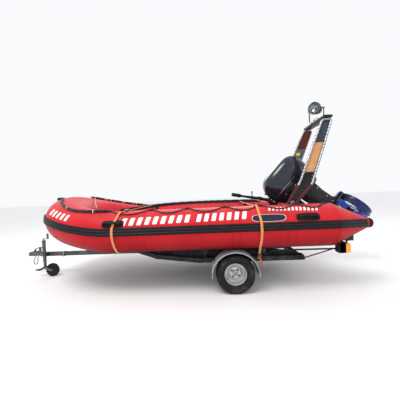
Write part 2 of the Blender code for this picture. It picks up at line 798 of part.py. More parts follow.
def steering_post_mesh():
    """The post inside the swivel, with the arms above and below that carry the engine."""
    post = pipe([(0, 0, -0.345), (0, 0, 0.034)], 0.0143, 16)
    upper = box((-0.02, -0.03, 0.0185), (0.03, 0.03, 0.0345))
    lower = box((-0.012, -0.03, -0.346), (0.0455, 0.03, -0.3305))
    return fused(post, upper, lower)


def tiller_mesh():
    arm = sweep([(0, 0, 0), (-0.33, 0, 0)], [(-0.028, -0.024), (0.028, -0.024), (0.028, 0.024), (-0.028, 0.024)])
    neck = pipe([(-0.32, 0, 0), (-0.42, 0, 0)], 0.017, 12)
    eye = turned([(0, -0.0337), (0.03, -0.0337), (0.03, 0.0337), (0, 0.0337)], (0, 0, 0), "Y", 16)
    return fused(arm, neck, eye)


def outboard(finish):
    tilt = pivot("tilt_pin", (TILT_X, 0, TILT_Z), tilt=TILT_ANGLE)
    to_world = Matrix.Translation((TILT_X, 0, TILT_Z))
    node("clamp_bracket", moved(clamp_bracket_mesh(), to_world), finish["engine"])
    node("swivel_bracket", swivel_mesh(), finish["engine"], tilt)
    steer = pivot("steering_axis", (STEER_X, 0, 0), tilt)
    shift = Matrix.Translation((-STEER_X, 0, 0))
    node("steering_post", steering_post_mesh(), finish["engine"], steer)
    tunnel = box((-0.20, -0.075, -0.05), (STEER_X + 0.03 + GAP, 0.075, 0.0345 + GAP))
    lower_cowl = cut(lower_cowl_mesh(), tunnel)
    node("cowl", moved(cowl_mesh(), shift), finish["navy"], steer)
    node("leg", moved(leg_mesh(), shift), finish["engine"], steer)
    node("propeller_guard", moved(guard_mesh(), shift), finish["guard"], steer)
    screw = pivot("propeller_axis", (RING_FRONT - STEER_X, 0, PROP_Z), steer)
    node("propeller", propeller_mesh(), finish["aluminium"], screw)
    hinge_x, hinge_z = TILLER_HINGE
    lower_cowl = fused(
        lower_cowl,
        box((hinge_x - 0.026, -0.046, hinge_z - 0.13), (-0.10, 0.046, hinge_z - 0.085)),
        box((hinge_x - 0.026, -0.046, hinge_z - 0.13), (hinge_x + 0.02, -0.034, hinge_z + 0.02)),
        box((hinge_x - 0.026, 0.034, hinge_z - 0.13), (hinge_x + 0.02, 0.046, hinge_z + 0.02)),
    )
    node("lower_cowl", moved(lower_cowl, shift), finish["engine"], steer)
    tiller = pivot("tiller_hinge", (hinge_x - STEER_X, 0, hinge_z), steer, tilt=0.0)
    tiller.rotation_euler = (0.0, math.radians(TILLER_RISE), 0.0)
    node("tiller_arm", tiller_mesh(), finish["engine"], tiller)
    grip = turned(
        [(0, -0.4205), (0.024, -0.4205), (0.028, -0.44), (0.026, -0.54), (0.02, -TILLER_LENGTH), (0, -TILLER_LENGTH)],
        (0, 0, 0), "X", 16,
    )
    node("tiller_grip", grip, finish["black"], tiller)


# Trailer

def rail_section(width=RAIL_WIDTH):
    half, tall = width / 2, (RAIL_TOP - RAIL_BOTTOM) / 2
    return [(-half, -tall), (half, -tall), (half, tall), (-half, tall)]


def side_rail_mesh():
    z = (RAIL_TOP + RAIL_BOTTOM) / 2
    path = [(-1.36, -0.02, z), (-1.00, -0.37, z), (-0.42, -RAIL_SPREAD, z), (RAIL_END_X, -RAIL_SPREAD, z)]
    spine = box((-3, -RAIL_WIDTH / 2 - GAP, 0.2), (1, 0.5, 0.5))
    return cut(sweep(path, rail_section()), spine)


def tyre_mesh(side):
    half = TYRE_WIDTH / 2
    # columns: radius, distance from the middle plane
    profile = [
        (RIM_RADIUS + 0.0005, -half * 0.62), (0.15, -half * 0.86), (0.175, -half), (0.200, -half * 0.97),
        (0.216, -half * 0.80), (WHEEL_RADIUS, -half * 0.55), (WHEEL_RADIUS, half * 0.55), (0.216, half * 0.80),
        (0.200, half * 0.97), (0.175, half), (0.15, half * 0.86), (RIM_RADIUS + 0.0005, half * 0.62),
    ]
    return turned(profile, (0, side * WHEEL_Y, WHEEL_RADIUS), "Y", 48)


def rim_mesh(side):
    """Barrel, dished disc and hub of a pressed wheel. The face looks outboard."""
    out = side
    profile = [
        (0, 0.028), (0.030, 0.028), (0.034, 0.024), (0.034, 0.004), (0.066, 0.0), (0.080, -0.012), (0.106, -0.020),
        (0.116, -0.008), (0.1185, 0.060), (0.126, 0.060), (RIM_RADIUS, 0.050), (RIM_RADIUS, -0.060), (0.1185, -0.060),
        (0.1185, -0.028), (0.106, -0.032), (0.080, -0.024), (0.066, -0.012), (0.034, -0.014), (0.034, -0.026), (0, -0.026),
    ]
    return turned([(r, out * t) for r, t in profile], (0, side * WHEEL_Y, WHEEL_RADIUS), "Y", 36)


def axle_mesh():
    """Square beam under the rails with a trailing arm and stub at each end."""
    parts = [box((-0.185, -0.66, 0.240), (-0.125, 0.66, RAIL_BOTTOM - GAP))]
    for side in (-1, 1):
        low, high = sorted((side * 0.645, side * 0.675))
        outline = (
            (-0.185, 0.240), (-0.02, 0.190), (0.03, 0.20), (0.035, 0.245), (-0.01, 0.262), (-0.125, 0.2995),
            (-0.185, 0.2995),
        )
        parts.append(prism(outline, low, high))
        parts.append(pipe([(0, side * 0.66, WHEEL_RADIUS), (0, side * (WHEEL_Y - 0.0265), WHEEL_RADIUS)], 0.026, 16))
    return fused(parts[0], *parts[1:])


def mudguard_mesh():
    """Half-round port guard with a web on its inner side and two arms to the rail."""
    steps = 18
    start, end = -4.0, 184.0
    angles = [math.radians(start + (end - start) * k / steps) for k in range(steps + 1)]
    outer, inner, lip = [
        [((GUARD_RADIUS - depth) * math.cos(a), GUARD_Z + (GUARD_RADIUS - depth) * math.sin(a)) for a in angles]
        for depth in (0.0, GUARD_WALL, 0.03)
    ]
    shell = prism(outer + inner[::-1], -0.915, -0.690)
    web = prism(outer + lip[::-1], -0.694, -0.6905)
    rail_face = -(RAIL_SPREAD + RAIL_WIDTH / 2 + GAP)
    arms = [box((x - 0.02, -0.692, 0.312), (x + 0.02, rail_face, 0.332)) for x in (-0.246, 0.246)]
    return fused(shell, web, *arms)


def support_mesh(x):
    """Post on the port rail with a pad shaped to the tube above it."""
    post = box((x - 0.014, -0.612, RAIL_TOP - 0.01), (x + 0.014, -0.592, 0.46))
    foot = box((x - 0.03, -0.622, RAIL_TOP - 0.01), (x + 0.03, -0.592, RAIL_TOP + 0.008))
    pad = box((x - 0.04, -0.700, 0.435), (x + 0.04, -0.592, 0.496))
    return fused(pad, post, foot)


def hull_board_mesh():
    """Upright port board on the inner half of the rail, close under the hull skin."""
    # columns: x from the axle, distance from the middle line, top
    stations = (
        (-1.26, 0.100, 0.372), (-1.20, 0.158, 0.392), (-1.00, 0.353, 0.428), (-0.42, 0.5825, 0.466),
        (0.36, 0.5825, 0.466), (0.62, 0.5825, 0.425), (0.86, 0.5825, 0.372),
    )
    half, low = 0.006, RAIL_TOP + GAP
    rings = []
    for x, y, top in stations:
        rings.append([(x, -y - half, low), (x, half - y, low), (x, half - y, top), (x, -y - half, top)])
    return rings_mesh(rings)


def rear_stand_mesh():
    """Port rear stand: level arm, diagonal brace, post and the pad under the stern cone."""
    start = SUPPORT_PLACES[1] + 0.014 + GAP
    path = [
        (start, -0.602, 0.40), (0.40, -0.602, 0.40), (0.47, -0.66, 0.44), (1.20, -0.735, 0.455), (1.31, -0.742, 0.455),
    ]
    arm = pipe(rounded(path, 0.03, 3), 0.010, 8)
    brace = pipe([(RAIL_END_X - 0.02, -RAIL_SPREAD - 0.034, 0.325), (1.17, -0.725, 0.452)], 0.007, 8)
    rail_face = -RAIL_SPREAD - RAIL_WIDTH / 2 - GAP
    lug = box((RAIL_END_X - 0.06, -RAIL_SPREAD - 0.040, 0.305), (RAIL_END_X, rail_face, 0.345))
    post = pipe([(1.295, -0.742, 0.45), (1.32, -0.74, 0.56)], 0.011, 8)
    pad = box((1.275, -0.775, 0.552), (1.375, -0.695, 0.68))
    return fused(arm, brace, lug, post, pad)


def coupling_mesh():
    # columns: x from the axle, half width, low, high
    stations = (
        (-3.115, 0.022, 0.322, 0.352), (-3.085, 0.038, 0.312, 0.372), (-3.0, 0.040, 0.310, 0.378),
        (-2.95, 0.030, 0.312, 0.366), (DRAWBAR_FRONT_X - GAP, 0.030, 0.302, 0.362),
    )
    body = rings_mesh([
        [(x, -wide, low), (x, wide, low), (x, wide, high), (x, -wide, high)] for x, wide, low, high in stations
    ])
    handle = sweep(
        rounded([(-3.03, 0, 0.365), (-3.02, 0, 0.405), (-2.95, 0, 0.437), (-2.885, 0, 0.425)], 0.015, 3),
        [(-0.014, -0.006), (0.014, -0.006), (0.014, 0.006), (-0.014, 0.006)], up=(-1.0, 0.0, 0.5),
    )
    stem = box((-2.955, -0.008, 0.36), (-2.925, 0.008, 0.436))
    return fused(body, handle, stem)


def cable_points():
    """Breakaway cable: a limp loop that hangs from the two ears of the coupling."""
    # columns: x from the axle, y, z
    route = (
        (-3.012, 0.0, 0.3098), (-3.012, 0.0, 0.300), (-3.045, 0.012, 0.255), (-3.072, 0.022, 0.205),
        (-3.062, 0.034, 0.168), (-3.042, 0.046, 0.162), (-3.032, 0.056, 0.195), (-3.030, 0.054, 0.245),
        (-2.995, 0.028, 0.282), (-2.97, 0.0, 0.300), (-2.97, 0.0, 0.3107),
    )
    points = [Vector(route[0])]
    steps = 4
    for i in range(1, len(route) - 2):
        before, a, b, after = [Vector(route[i + k]) for k in (-1, 0, 1, 2)]
        for k in range(steps):
            t = k / steps
            bend = (2 * before - 5 * a + 4 * b - after) * t * t + (3 * a - before - 3 * b + after) * t ** 3
            points.append((2 * a + (b - before) * t + bend) * 0.5)
    return points + [Vector(route[-2]), Vector(route[-1])]


def jockey(finish):
    x, y = JOCKEY_X, JOCKEY_Y
    face = -RAIL_WIDTH / 2 - GAP
    tube = [(0, 0.225), (0.024, 0.225), (0.024, 0.53), (0.027, 0.53), (0.027, 0.553), (0.008, 0.556), (0.008, 0.58), (0, 0.58)]
    knob = [(0, 0.578), (0.007, 0.578), (0.014, 0.592), (0.014, 0.652), (0.008, 0.658), (0, 0.658)]
    outer = fused(
        turned(tube, (x, y, 0), "Z", 24),
        pipe([(x, y, 0.305), (x, y, 0.355)], 0.034, 20),
        box((x - 0.028, y + 0.01, 0.308), (x + 0.028, face, 0.352)),
        pipe([(x + 0.01, y - 0.01, 0.33), (x + 0.01, y - 0.07, 0.33)], 0.008, 8),
        box((x - 0.008, y - 0.012, 0.574), (x + 0.078, y + 0.012, 0.582)),
        turned(knob, (x + 0.066, y, 0), "Z", 12),
    )
    bore = pipe([(x, y, 0.2), (x, y, 0.52)], 0.0214, 22)
    node("jockey_outer_tube", cut(outer, bore), finish["steel"])
    slide = pivot("jockey_slide", (x, y, 0.0))
    leg = turned([(0, 0.152), (0.0205, 0.152), (0.0205, 0.44), (0, 0.44)], (0, 0, 0), "Z", 24)
    node("jockey_inner_tube", leg, finish["steel"], slide)
    swivel = pivot("jockey_swivel", (0, 0, 0), slide)
    outline = (
        (-0.022, 0.1475), (0.03, 0.1475), (JOCKEY_TRAIL + 0.018, 0.112), (JOCKEY_TRAIL + 0.018, 0.088),
        (JOCKEY_TRAIL - 0.016, 0.084), (-0.022, 0.136),
    )
    cheeks = []
    for side in (-1, 1):
        low, high = sorted((side * 0.0305, side * 0.0345))
        cheeks.append(prism(outline, low, high))
    plate = box((-0.024, -0.0345, 0.1455), (0.020, 0.0345, 0.1515))
    axle = pipe([(JOCKEY_TRAIL, -0.04, JOCKEY_WHEEL_RADIUS), (JOCKEY_TRAIL, 0.04, JOCKEY_WHEEL_RADIUS)], 0.007, 10)
    node("jockey_fork", fused(plate, *cheeks, axle), finish["steel"], swivel)
    wheel = pivot("jockey_axle", (JOCKEY_TRAIL, 0, JOCKEY_WHEEL_RADIUS), swivel)
    profile = [
        (0.0075, -0.024), (0.022, -0.024), (0.022, -0.016), (0.062, -0.016), (0.068, -0.022), (0.088, -0.022),
        (0.097, -0.016), (JOCKEY_WHEEL_RADIUS, -0.008), (JOCKEY_WHEEL_RADIUS, 0.008), (0.097, 0.016), (0.088, 0.022),
        (0.068, 0.022), (0.062, 0.016), (0.022, 0.016), (0.022, 0.024), (0.0075, 0.024),
    ]
    node("jockey_wheel", turned(profile, (0, 0, 0), "Y", 32), finish["black"], wheel)


def keel_block_mesh(hull_cutter):
    block = box((-2.18, -0.05, RAIL_TOP - 0.01), (-2.115, 0.05, 0.43))
    return cut(block, hull_cutter)


def lamp_meshes():
    housing = box((1.168, -0.86, 0.432), (1.242, -0.765, 0.555))
    bracket = box((1.18, -0.768, 0.449), (1.23, -0.73, 0.461))
    lens = box((1.2423, -0.855, 0.434), (1.296, -0.77, 0.532))
    return fused(housing, bracket), lens


def trailer(finish):
    tube = tube_mesh(CUT_CLEARANCE)
    z0, z1 = RAIL_BOTTOM, RAIL_TOP
    half = RAIL_WIDTH / 2
    reach = RAIL_SPREAD - half - GAP
    keel = hull_seat_mesh()
    drawbar = fused(
        box((DRAWBAR_FRONT_X, -half, z0), (REAR_BEAM_X + 0.01, half, z1)),
        box((REAR_BEAM_X, -reach, z0), (REAR_BEAM_X + 0.05, reach, z1)),
        keel_block_mesh(keel),
    )
    node("drawbar", drawbar, finish["galvanised"])
    rail = fused(side_rail_mesh(), *[support_mesh(x) for x in SUPPORT_PLACES])
    rail = cut(rail, keel)
    node("side_rail_starboard", mirrored(rail), finish["galvanised"])
    node("side_rail_port", rail, finish["galvanised"])
    board = hull_board_mesh()
    node("hull_board_starboard", mirrored(board), finish["black"])
    node("hull_board_port", board, finish["black"])
    node("axle", axle_mesh(), finish["galvanised"])
    guard = mudguard_mesh()
    node("mudguard_starboard", mirrored(guard), finish["plastic_grey"])
    node("mudguard_port", guard, finish["plastic_grey"])
    for side, sign in (("port", -1), ("starboard", 1)):
        hub = pivot(f"wheel_hub_{side}", (0, sign * WHEEL_Y, WHEEL_RADIUS))
        centre = Matrix.Translation((0, -sign * WHEEL_Y, -WHEEL_RADIUS))
        node(f"tyre_{side}", moved(tyre_mesh(sign), centre), finish["rubber"], hub)
        node(f"rim_{side}", moved(rim_mesh(sign), centre), finish["steel"], hub)
    housing, lens = lamp_meshes()
    stand = cut(fused(rear_stand_mesh(), housing), tube)
    node("rear_stand_starboard", mirrored(stand), finish["black"])
    node("rear_stand_port", stand, finish["black"])
    node("tail_lamp_starboard", mirrored(lens), finish["amber"])
    node("tail_lamp_port", lens, finish["amber"])
    node("coupling", coupling_mesh(), finish["steel"])
    cable = cable_points()
    rope("breakaway_cable", cable, [CABLE_RADIUS] * len(cable), finish["black"])
    jockey(finish)
    # columns: angle round the tube, height over it
    under_grip = ((50, 0.012), (41, 0.0135), (35, 0.018), (28, 0.019), (22, 0.019))
    on_skin = ((52, 0.006), (38, 0.007), (27, 0.015))
    to_drawbar = ((-20, 0.014), (-38, 0.008), (-54, 0.008), (-70, 0.007), (-84, 0.006))
    to_rail = ((-20, 0.014), (-38, 0.008), (-54, 0.008))
    fore = strap_mesh(-1.284, -1.36, 62, under_grip, to_drawbar, (-1.42, -half - GAP, z0 + 0.02))
    node("strap_fore", fore, finish["orange"])
    aft = strap_mesh(0.262, 0.285, 72, on_skin, to_rail, (0.31, -RAIL_SPREAD - half - 0.004, (z0 + z1) / 2))
    node("strap_aft", aft, finish["orange"])


def hull_seat_mesh():
    """The hull bottom a little larger, to seat what carries it."""
    mesh = hull_bottom_mesh(tube_mesh(CUT_CLEARANCE))
    mesh.transform(Matrix.Translation((0, 0, -CUT_CLEARANCE)))
    return mesh


def finishes():
    # columns: name, colour, roughness, metallic
    table = (
        ("red", (0.50, 0.02, 0.03), 0.45, 0.0),
        ("black", (0.02, 0.02, 0.022), 0.6, 0.0),
        ("dark", (0.03, 0.03, 0.035), 0.7, 0.0),
        ("grey", (0.25, 0.26, 0.27), 0.7, 0.0),
        ("slate", (0.12, 0.15, 0.17), 0.6, 0.0),
        ("orange", (0.72, 0.28, 0.08), 0.7, 0.0),
        ("white", (0.85, 0.85, 0.83), 0.35, 0.0),
        ("blue", (0.03, 0.12, 0.5), 0.2, 0.0),
        ("amber", (0.8, 0.22, 0.03), 0.25, 0.0),
        ("engine", (0.03, 0.032, 0.036), 0.35, 0.0),
        ("navy", (0.03, 0.045, 0.08), 0.25, 0.0),
        ("guard", (0.12, 0.28, 0.5), 0.45, 0.0),
        ("aluminium", (0.75, 0.76, 0.77), 0.35, 1.0),
        ("steel", (0.6, 0.61, 0.62), 0.4, 1.0),
        ("galvanised", (0.5, 0.52, 0.53), 0.5, 1.0),
        ("plastic_grey", (0.3, 0.31, 0.32), 0.55, 0.0),
        ("rubber", (0.025, 0.025, 0.025), 0.8, 0.0),
    )
    return {name: material(name, colour, rough, metal) for name, colour, rough, metal in table}


def main():
    clear_scene()
    finish = finishes()
    hull(finish)
    rack(finish)
    outboard(finish)
    trailer(finish)


main()
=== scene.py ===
import json
import math

import bpy
from mathutils import Matrix, Vector


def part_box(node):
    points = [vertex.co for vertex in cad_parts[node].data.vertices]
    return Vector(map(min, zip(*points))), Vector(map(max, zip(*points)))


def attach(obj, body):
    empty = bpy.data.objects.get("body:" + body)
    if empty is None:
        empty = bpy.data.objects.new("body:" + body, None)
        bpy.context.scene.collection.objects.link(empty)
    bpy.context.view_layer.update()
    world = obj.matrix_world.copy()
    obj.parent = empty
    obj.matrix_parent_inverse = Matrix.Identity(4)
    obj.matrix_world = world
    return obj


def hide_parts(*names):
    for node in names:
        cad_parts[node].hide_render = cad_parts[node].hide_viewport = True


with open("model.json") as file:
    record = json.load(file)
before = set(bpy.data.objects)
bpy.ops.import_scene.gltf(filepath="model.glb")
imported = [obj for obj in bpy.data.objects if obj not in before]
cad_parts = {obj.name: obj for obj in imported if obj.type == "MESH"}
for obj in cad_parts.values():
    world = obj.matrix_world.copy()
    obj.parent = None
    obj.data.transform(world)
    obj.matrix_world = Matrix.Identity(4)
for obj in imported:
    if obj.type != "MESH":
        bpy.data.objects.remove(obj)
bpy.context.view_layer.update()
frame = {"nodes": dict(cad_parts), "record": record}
nodes = frame["nodes"]
print("frame loaded:", len(nodes), "nodes")


# Shader maths: a wire holds one output socket and takes + - * like a number

class Wire:
    def __init__(self, sheet, socket):
        self.sheet, self.socket = sheet, socket

    def calc(self, operation, *others):
        return self.sheet.maths(operation, self, *others)

    def __add__(self, other):
        return self.calc("ADD", other)

    def __mul__(self, other):
        return self.calc("MULTIPLY", other)

    def __sub__(self, other):
        return self.calc("SUBTRACT", other)

    def __rsub__(self, other):
        return self.sheet.maths("SUBTRACT", other, self)

    def ripple(self, pitch):
        # a sine wave that repeats at the pitch
        return (self * (2 * math.pi / pitch)).calc("SINE")

    def step(self, low, high, start=0.0, end=1.0):
        # a soft rise from start to end between low and high
        sockets = {0: self, 1: low, 2: high, 3: start, 4: end}
        return self.sheet.node("ShaderNodeMapRange", {"interpolation_type": "SMOOTHSTEP"}, sockets)

    def band(self, low, high, soft):
        # 1 between low and high, with soft edges
        return self.step(low - soft, low + soft) - self.step(high - soft, high + soft)


class Sheet:
    longNames = {
        "Colour": "Base Color", "Coat": "Coat Weight", "CoatRough": "Coat Roughness", "Specular": "Specular IOR Level",
        "Sheen": "Sheen Weight", "Clear": "Transmission Weight", "Glow": "Emission Color",
        "GlowPower": "Emission Strength",
    }

    def __init__(self, name):
        self.material = bpy.data.materials.new(name)
        self.material.use_nodes = True
        self.tree = self.material.node_tree
        self.tree.nodes.clear()
        self.shader = self.tree.nodes.new("ShaderNodeBsdfPrincipled")
        output = self.tree.nodes.new("ShaderNodeOutputMaterial")
        self.tree.links.new(self.shader.outputs[0], output.inputs[0])
        self.put(Specular=0.16)
        self.place = self.node("ShaderNodeTexCoord", out="Object")

    def node(self, kind, settings=None, sockets=None, out=0):
        made = self.tree.nodes.new(kind)
        for key, value in (settings or {}).items():
            setattr(made, key, value)
        for key, value in (sockets or {}).items():
            self.fill(made.inputs[key], value)
        return Wire(self, made.outputs[out])

    def fill(self, socket, value):
        if isinstance(value, Wire):
            self.tree.links.new(value.socket, socket)
        else:
            socket.default_value = value

    def put(self, **sockets):
        for key, value in sockets.items():
            flat = key == "Colour" and not isinstance(value, Wire)
            self.fill(self.shader.inputs[self.longNames.get(key, key)], (*value, 1.0) if flat else value)
        return self.material

    def maths(self, operation, *values):
        return self.node("ShaderNodeMath", {"operation": operation}, dict(enumerate(values)))

    def layer(self, name):
        return self.node("ShaderNodeAttribute", {"attribute_name": name}, None, "Fac")

    def noise(self, scale, detail=3.0, rough=0.55, place=None):
        sockets = {"Vector": place or self.place, "Scale": scale, "Detail": detail, "Roughness": rough}
        return self.node("ShaderNodeTexNoise", None, sockets)

    def streaks(self, scale, stretch):
        # noise drawn out by different amounts along the three axes
        spread = self.node("ShaderNodeMapping", None, {"Vector": self.place, "Scale": stretch})
        return self.noise(scale, 4.0, 0.6, spread)

    def cells(self, scale, out=0):
        return self.node("ShaderNodeTexVoronoi", None, {"Vector": self.place, "Scale": scale}, out)

    def flakes(self, scale):
        # one grey for each cell
        return self.node("ShaderNodeSeparateColor", None, {0: self.cells(scale, 1)})

    def waves(self, scale, direction="X"):
        settings = {"wave_type": "BANDS", "bands_direction": direction}
        return self.node("ShaderNodeTexWave", settings, {"Vector": self.place, "Scale": scale})

    def mix(self, share, first, second):
        ends = [value if isinstance(value, Wire) else (*value, 1.0) for value in (first, second)]
        return self.node("ShaderNodeMix", {"data_type": "RGBA"}, {0: share, 6: ends[0], 7: ends[1]}, 2)

    def bump(self, height, depth, strength, under=None):
        sockets = {"Height": height, "Distance": depth, "Strength": strength}
        if under is not None:
            sockets["Normal"] = under
        return self.node("ShaderNodeBump", None, sockets)


# Finishes

def tubeFabric():
    # coated cloth of the buoyancy tube, with the seams from the seam layer, scuffs, and painted shade on the underside
    sheet = Sheet("tubeFabric")
    around, seam = sheet.layer("around"), sheet.layer("seam")
    cloud = sheet.noise(1.8, 4.0)
    scuff = sheet.streaks(7.0, (1.0, 1.0, 5.0))
    speck = sheet.noise(150.0, 2.0)
    colour = sheet.mix(cloud.step(0.3, 0.75), (0.60, 0.020, 0.027), (0.51, 0.014, 0.020))
    colour = sheet.mix(scuff.step(0.58, 0.74) * 0.22, colour, (0.64, 0.055, 0.055))
    colour = sheet.mix(speck.step(0.62, 0.78) * 0.12, colour, (0.34, 0.01, 0.015))
    edge = seam.band(0.08, 0.30, 0.06) + seam.band(0.70, 0.92, 0.06)
    colour = sheet.mix(edge * 0.35, colour, (0.33, 0.008, 0.014))
    # painted shade: the lower part of the tube is darkened to a deep red, more in some patches of the cloud noise than
    # in others
    low = around.step(-80.0, 12.0, 1.0, 0.0) * cloud.step(0.25, 0.65, 0.78, 0.95)
    colour = sheet.mix(low, colour, (0.14, 0.0008, 0.004))
    normal = sheet.bump(sheet.noise(900.0, 2.0), 0.0002, 0.5)
    normal = sheet.bump(seam.step(0.1, 0.35), 0.0022, 0.9, normal)
    normal = sheet.bump(sheet.noise(5.0, 2.0), 0.004, 0.3, normal)
    gloss = cloud.step(0.2, 0.8, 0.36, 0.5) + scuff.step(0.5, 0.8) * 0.12
    coat = around.step(12.0, 75.0, 0.0, 0.4)
    return sheet.put(Colour=colour, Roughness=gloss, Normal=normal, Specular=0.10, Coat=coat, CoatRough=0.38)


def plainFinish(name, colour, other, rough, grain=120.0, coat=0.0, smear=6.0, dust=0.0):
    # two tones in patches, a grain in the bump, an uneven gloss and dust that settles where it likes
    sheet = Sheet(name)
    patch = sheet.noise(smear, 4.0)
    speck = sheet.noise(grain, 2.0)
    tone = sheet.mix(patch.step(0.35, 0.7), colour, other)
    tone = sheet.mix(speck.step(0.5, 0.8) * 0.3, tone, other)
    gloss = patch.step(0.3, 0.75, rough * 0.85, min(rough * 1.2, 1.0))
    if dust:
        film = sheet.noise(smear * 2.3, 6.0, 0.7).step(0.48, 0.72) * dust
        tone = sheet.mix(film, tone, (0.30, 0.27, 0.24))
        gloss = gloss + film * 0.5
    return sheet.put(Colour=tone, Roughness=gloss, Normal=sheet.bump(speck, 0.0004, 0.5), Coat=coat, CoatRough=0.12)


def strakeRubber():
    # fender rubber: two worn grey lines in its grooves, read from the rib layer in millimetres
    sheet = Sheet("strakeRubber")
    rib = sheet.layer("rib")
    wear = sheet.streaks(9.0, (1.0, 1.0, 8.0))
    grooves = rib.band(-17.5, -12.5, 1.5) + rib.band(12.5, 17.5, 1.5)
    tone = sheet.mix(wear.step(0.35, 0.75), (0.004, 0.003, 0.0045), (0.010, 0.008, 0.011))
    tone = sheet.mix(grooves * wear.step(0.25, 0.6, 0.55, 1.0), tone, (0.048, 0.046, 0.052))
    normal = sheet.bump(sheet.noise(320.0), 0.0006, 0.6)
    return sheet.put(Colour=tone, Roughness=wear.step(0.3, 0.8, 0.42, 0.62), Normal=normal, Coat=0.05)


def braidedCord(name, dark, light, pitch=0.011):
    # strands that cross in two directions along a cord
    sheet = Sheet(name)
    turn = sheet.layer("around") * (2 / 360)
    run = sheet.layer("along") * (1 / pitch)
    strands = (run + turn).ripple(1).calc("MAXIMUM", (run - turn).ripple(1))
    tone = sheet.mix(strands.step(-0.2, 0.9), dark, light)
    return sheet.put(Colour=tone, Roughness=0.82, Normal=sheet.bump(strands, 0.0012, 0.8), Sheen=0.2)


def webbing(name, base, worn, edge):
    # flat woven strap: ribs across it and darker selvedges
    sheet = Sheet(name)
    across = sheet.layer("across")
    rib, yarn = sheet.layer("along").ripple(0.0032), across.ripple(1 / 9)
    tone = sheet.mix(sheet.noise(14.0, 4.0).step(0.3, 0.75), base, worn)
    tone = sheet.mix((rib * 0.5 + 0.5) * 0.18, tone, edge)
    tone = sheet.mix(across.band(0.0, 0.07, 0.03) + across.band(0.93, 1.0, 0.03), tone, edge)
    return sheet.put(Colour=tone, Roughness=0.68, Normal=sheet.bump(rib + yarn * 0.6, 0.0007, 0.7), Sheen=0.25)


def paddedCloth(name, base, shade):
    # heavy woven cover with faint patches of wear
    sheet = Sheet(name)
    tone = sheet.mix(sheet.noise(7.0, 5.0).step(0.3, 0.75), base, shade)
    weave = sheet.waves(260.0) + sheet.waves(260.0, "Z")
    tone = sheet.mix(weave.step(0.9, 1.7) * 0.2, tone, shade)
    normal = sheet.bump(sheet.noise(9.0), 0.006, 0.5, sheet.bump(weave, 0.0004, 0.6))
    return sheet.put(Colour=tone, Roughness=0.74, Normal=normal, Sheen=0.2)


def galvanised(name, light, dark):
    # zinc spangle in two given tones, with lighter grey patches of grime and spots of rust
    sheet = Sheet(name)
    shade = sheet.flakes(70.0)
    patch = sheet.noise(5.0, 5.0)
    tone = sheet.mix(shade, dark, light)
    tone = sheet.mix(patch.step(0.42, 0.75) * 0.4, tone, (0.26, 0.25, 0.23))
    rust = sheet.noise(19.0, 6.0, 0.7).step(0.64, 0.74) * 0.55
    tone = sheet.mix(rust, tone, (0.20, 0.09, 0.045))
    gloss, normal = shade * 0.14 + patch * 0.15 + 0.33, sheet.bump(sheet.noise(240.0), 0.0003, 0.4)
    return sheet.put(Colour=tone, Metallic=0.85 - rust * 0.7, Roughness=gloss, Normal=normal)


def floorBoard():
    # painted boards with raised non-slip dots, joints across and wet grey patches
    sheet = Sheet("floorBoard")
    patch = sheet.noise(3.5, 5.0)
    dots = sheet.cells(75.0).step(0.22, 0.42, 1.0, 0.0)
    along = sheet.node("ShaderNodeSeparateXYZ", None, {0: sheet.place})
    joint = (along * 1.7).calc("FRACT").band(0.0, 0.016, 0.004)
    tone = sheet.mix(patch.step(0.3, 0.7), (0.115, 0.12, 0.125), (0.19, 0.19, 0.185))
    tone = sheet.mix(dots * 0.3, tone, (0.24, 0.24, 0.23))
    tone = sheet.mix(joint, tone, (0.03, 0.03, 0.032))
    normal = sheet.bump(dots - joint * 2.0, 0.0015, 0.8)
    return sheet.put(Colour=tone, Roughness=patch.step(0.3, 0.7, 0.5, 0.75), Normal=normal)


def cowlPaint():
    # deep gloss paint with flakes and a film of dust
    sheet = Sheet("cowlPaint")
    tone = sheet.mix(sheet.flakes(900.0) * 0.6, (0.0045, 0.007, 0.016), (0.012, 0.018, 0.040))
    film = sheet.noise(4.0, 5.0).step(0.5, 0.72) * 0.10
    tone = sheet.mix(film, tone, (0.10, 0.11, 0.13))
    gloss = sheet.noise(30.0, 4.0).step(0.3, 0.8, 0.16, 0.26) + film * 0.8
    normal = sheet.bump(sheet.noise(60.0), 0.0003, 0.3)
    return sheet.put(Colour=tone, Roughness=gloss, Normal=normal, Coat=0.85, CoatRough=0.07)


def guardPaint(name, near, far):
    # blue paint with chips
    sheet = Sheet(name)
    patch = sheet.noise(11.0, 5.0)
    chip = sheet.noise(48.0, 5.0, 0.7).step(0.66, 0.70)
    tone = sheet.mix(patch.step(0.3, 0.7), near, far)
    tone = sheet.mix(chip * 0.7, tone, (0.32, 0.36, 0.42))
    gloss, normal = patch.step(0.3, 0.8, 0.26, 0.42), sheet.bump(1.0 - chip, 0.0004, 0.7)
    return sheet.put(Colour=tone, Roughness=gloss, Normal=normal, Coat=0.3, CoatRough=0.1)


def wheelRubber(name, dustTone):
    # sidewall rings by the distance from the wheel's centre, dust in the grooves
    sheet = Sheet(name)
    grain = sheet.noise(260.0)
    dust = sheet.noise(9.0, 6.0, 0.7)
    tone = sheet.mix(grain.step(0.4, 0.8), (0.010, 0.010, 0.0105), (0.024, 0.023, 0.023))
    tone = sheet.mix(dust.step(0.45, 0.75) * 0.38, tone, dustTone)
    rings = sheet.layer("radius").ripple(0.0065)
    normal = sheet.bump(grain + rings.step(0.2, 1.0) * 0.8, 0.0006, 0.6)
    return sheet.put(Colour=tone, Roughness=dust.step(0.3, 0.8, 0.62, 0.86), Normal=normal)


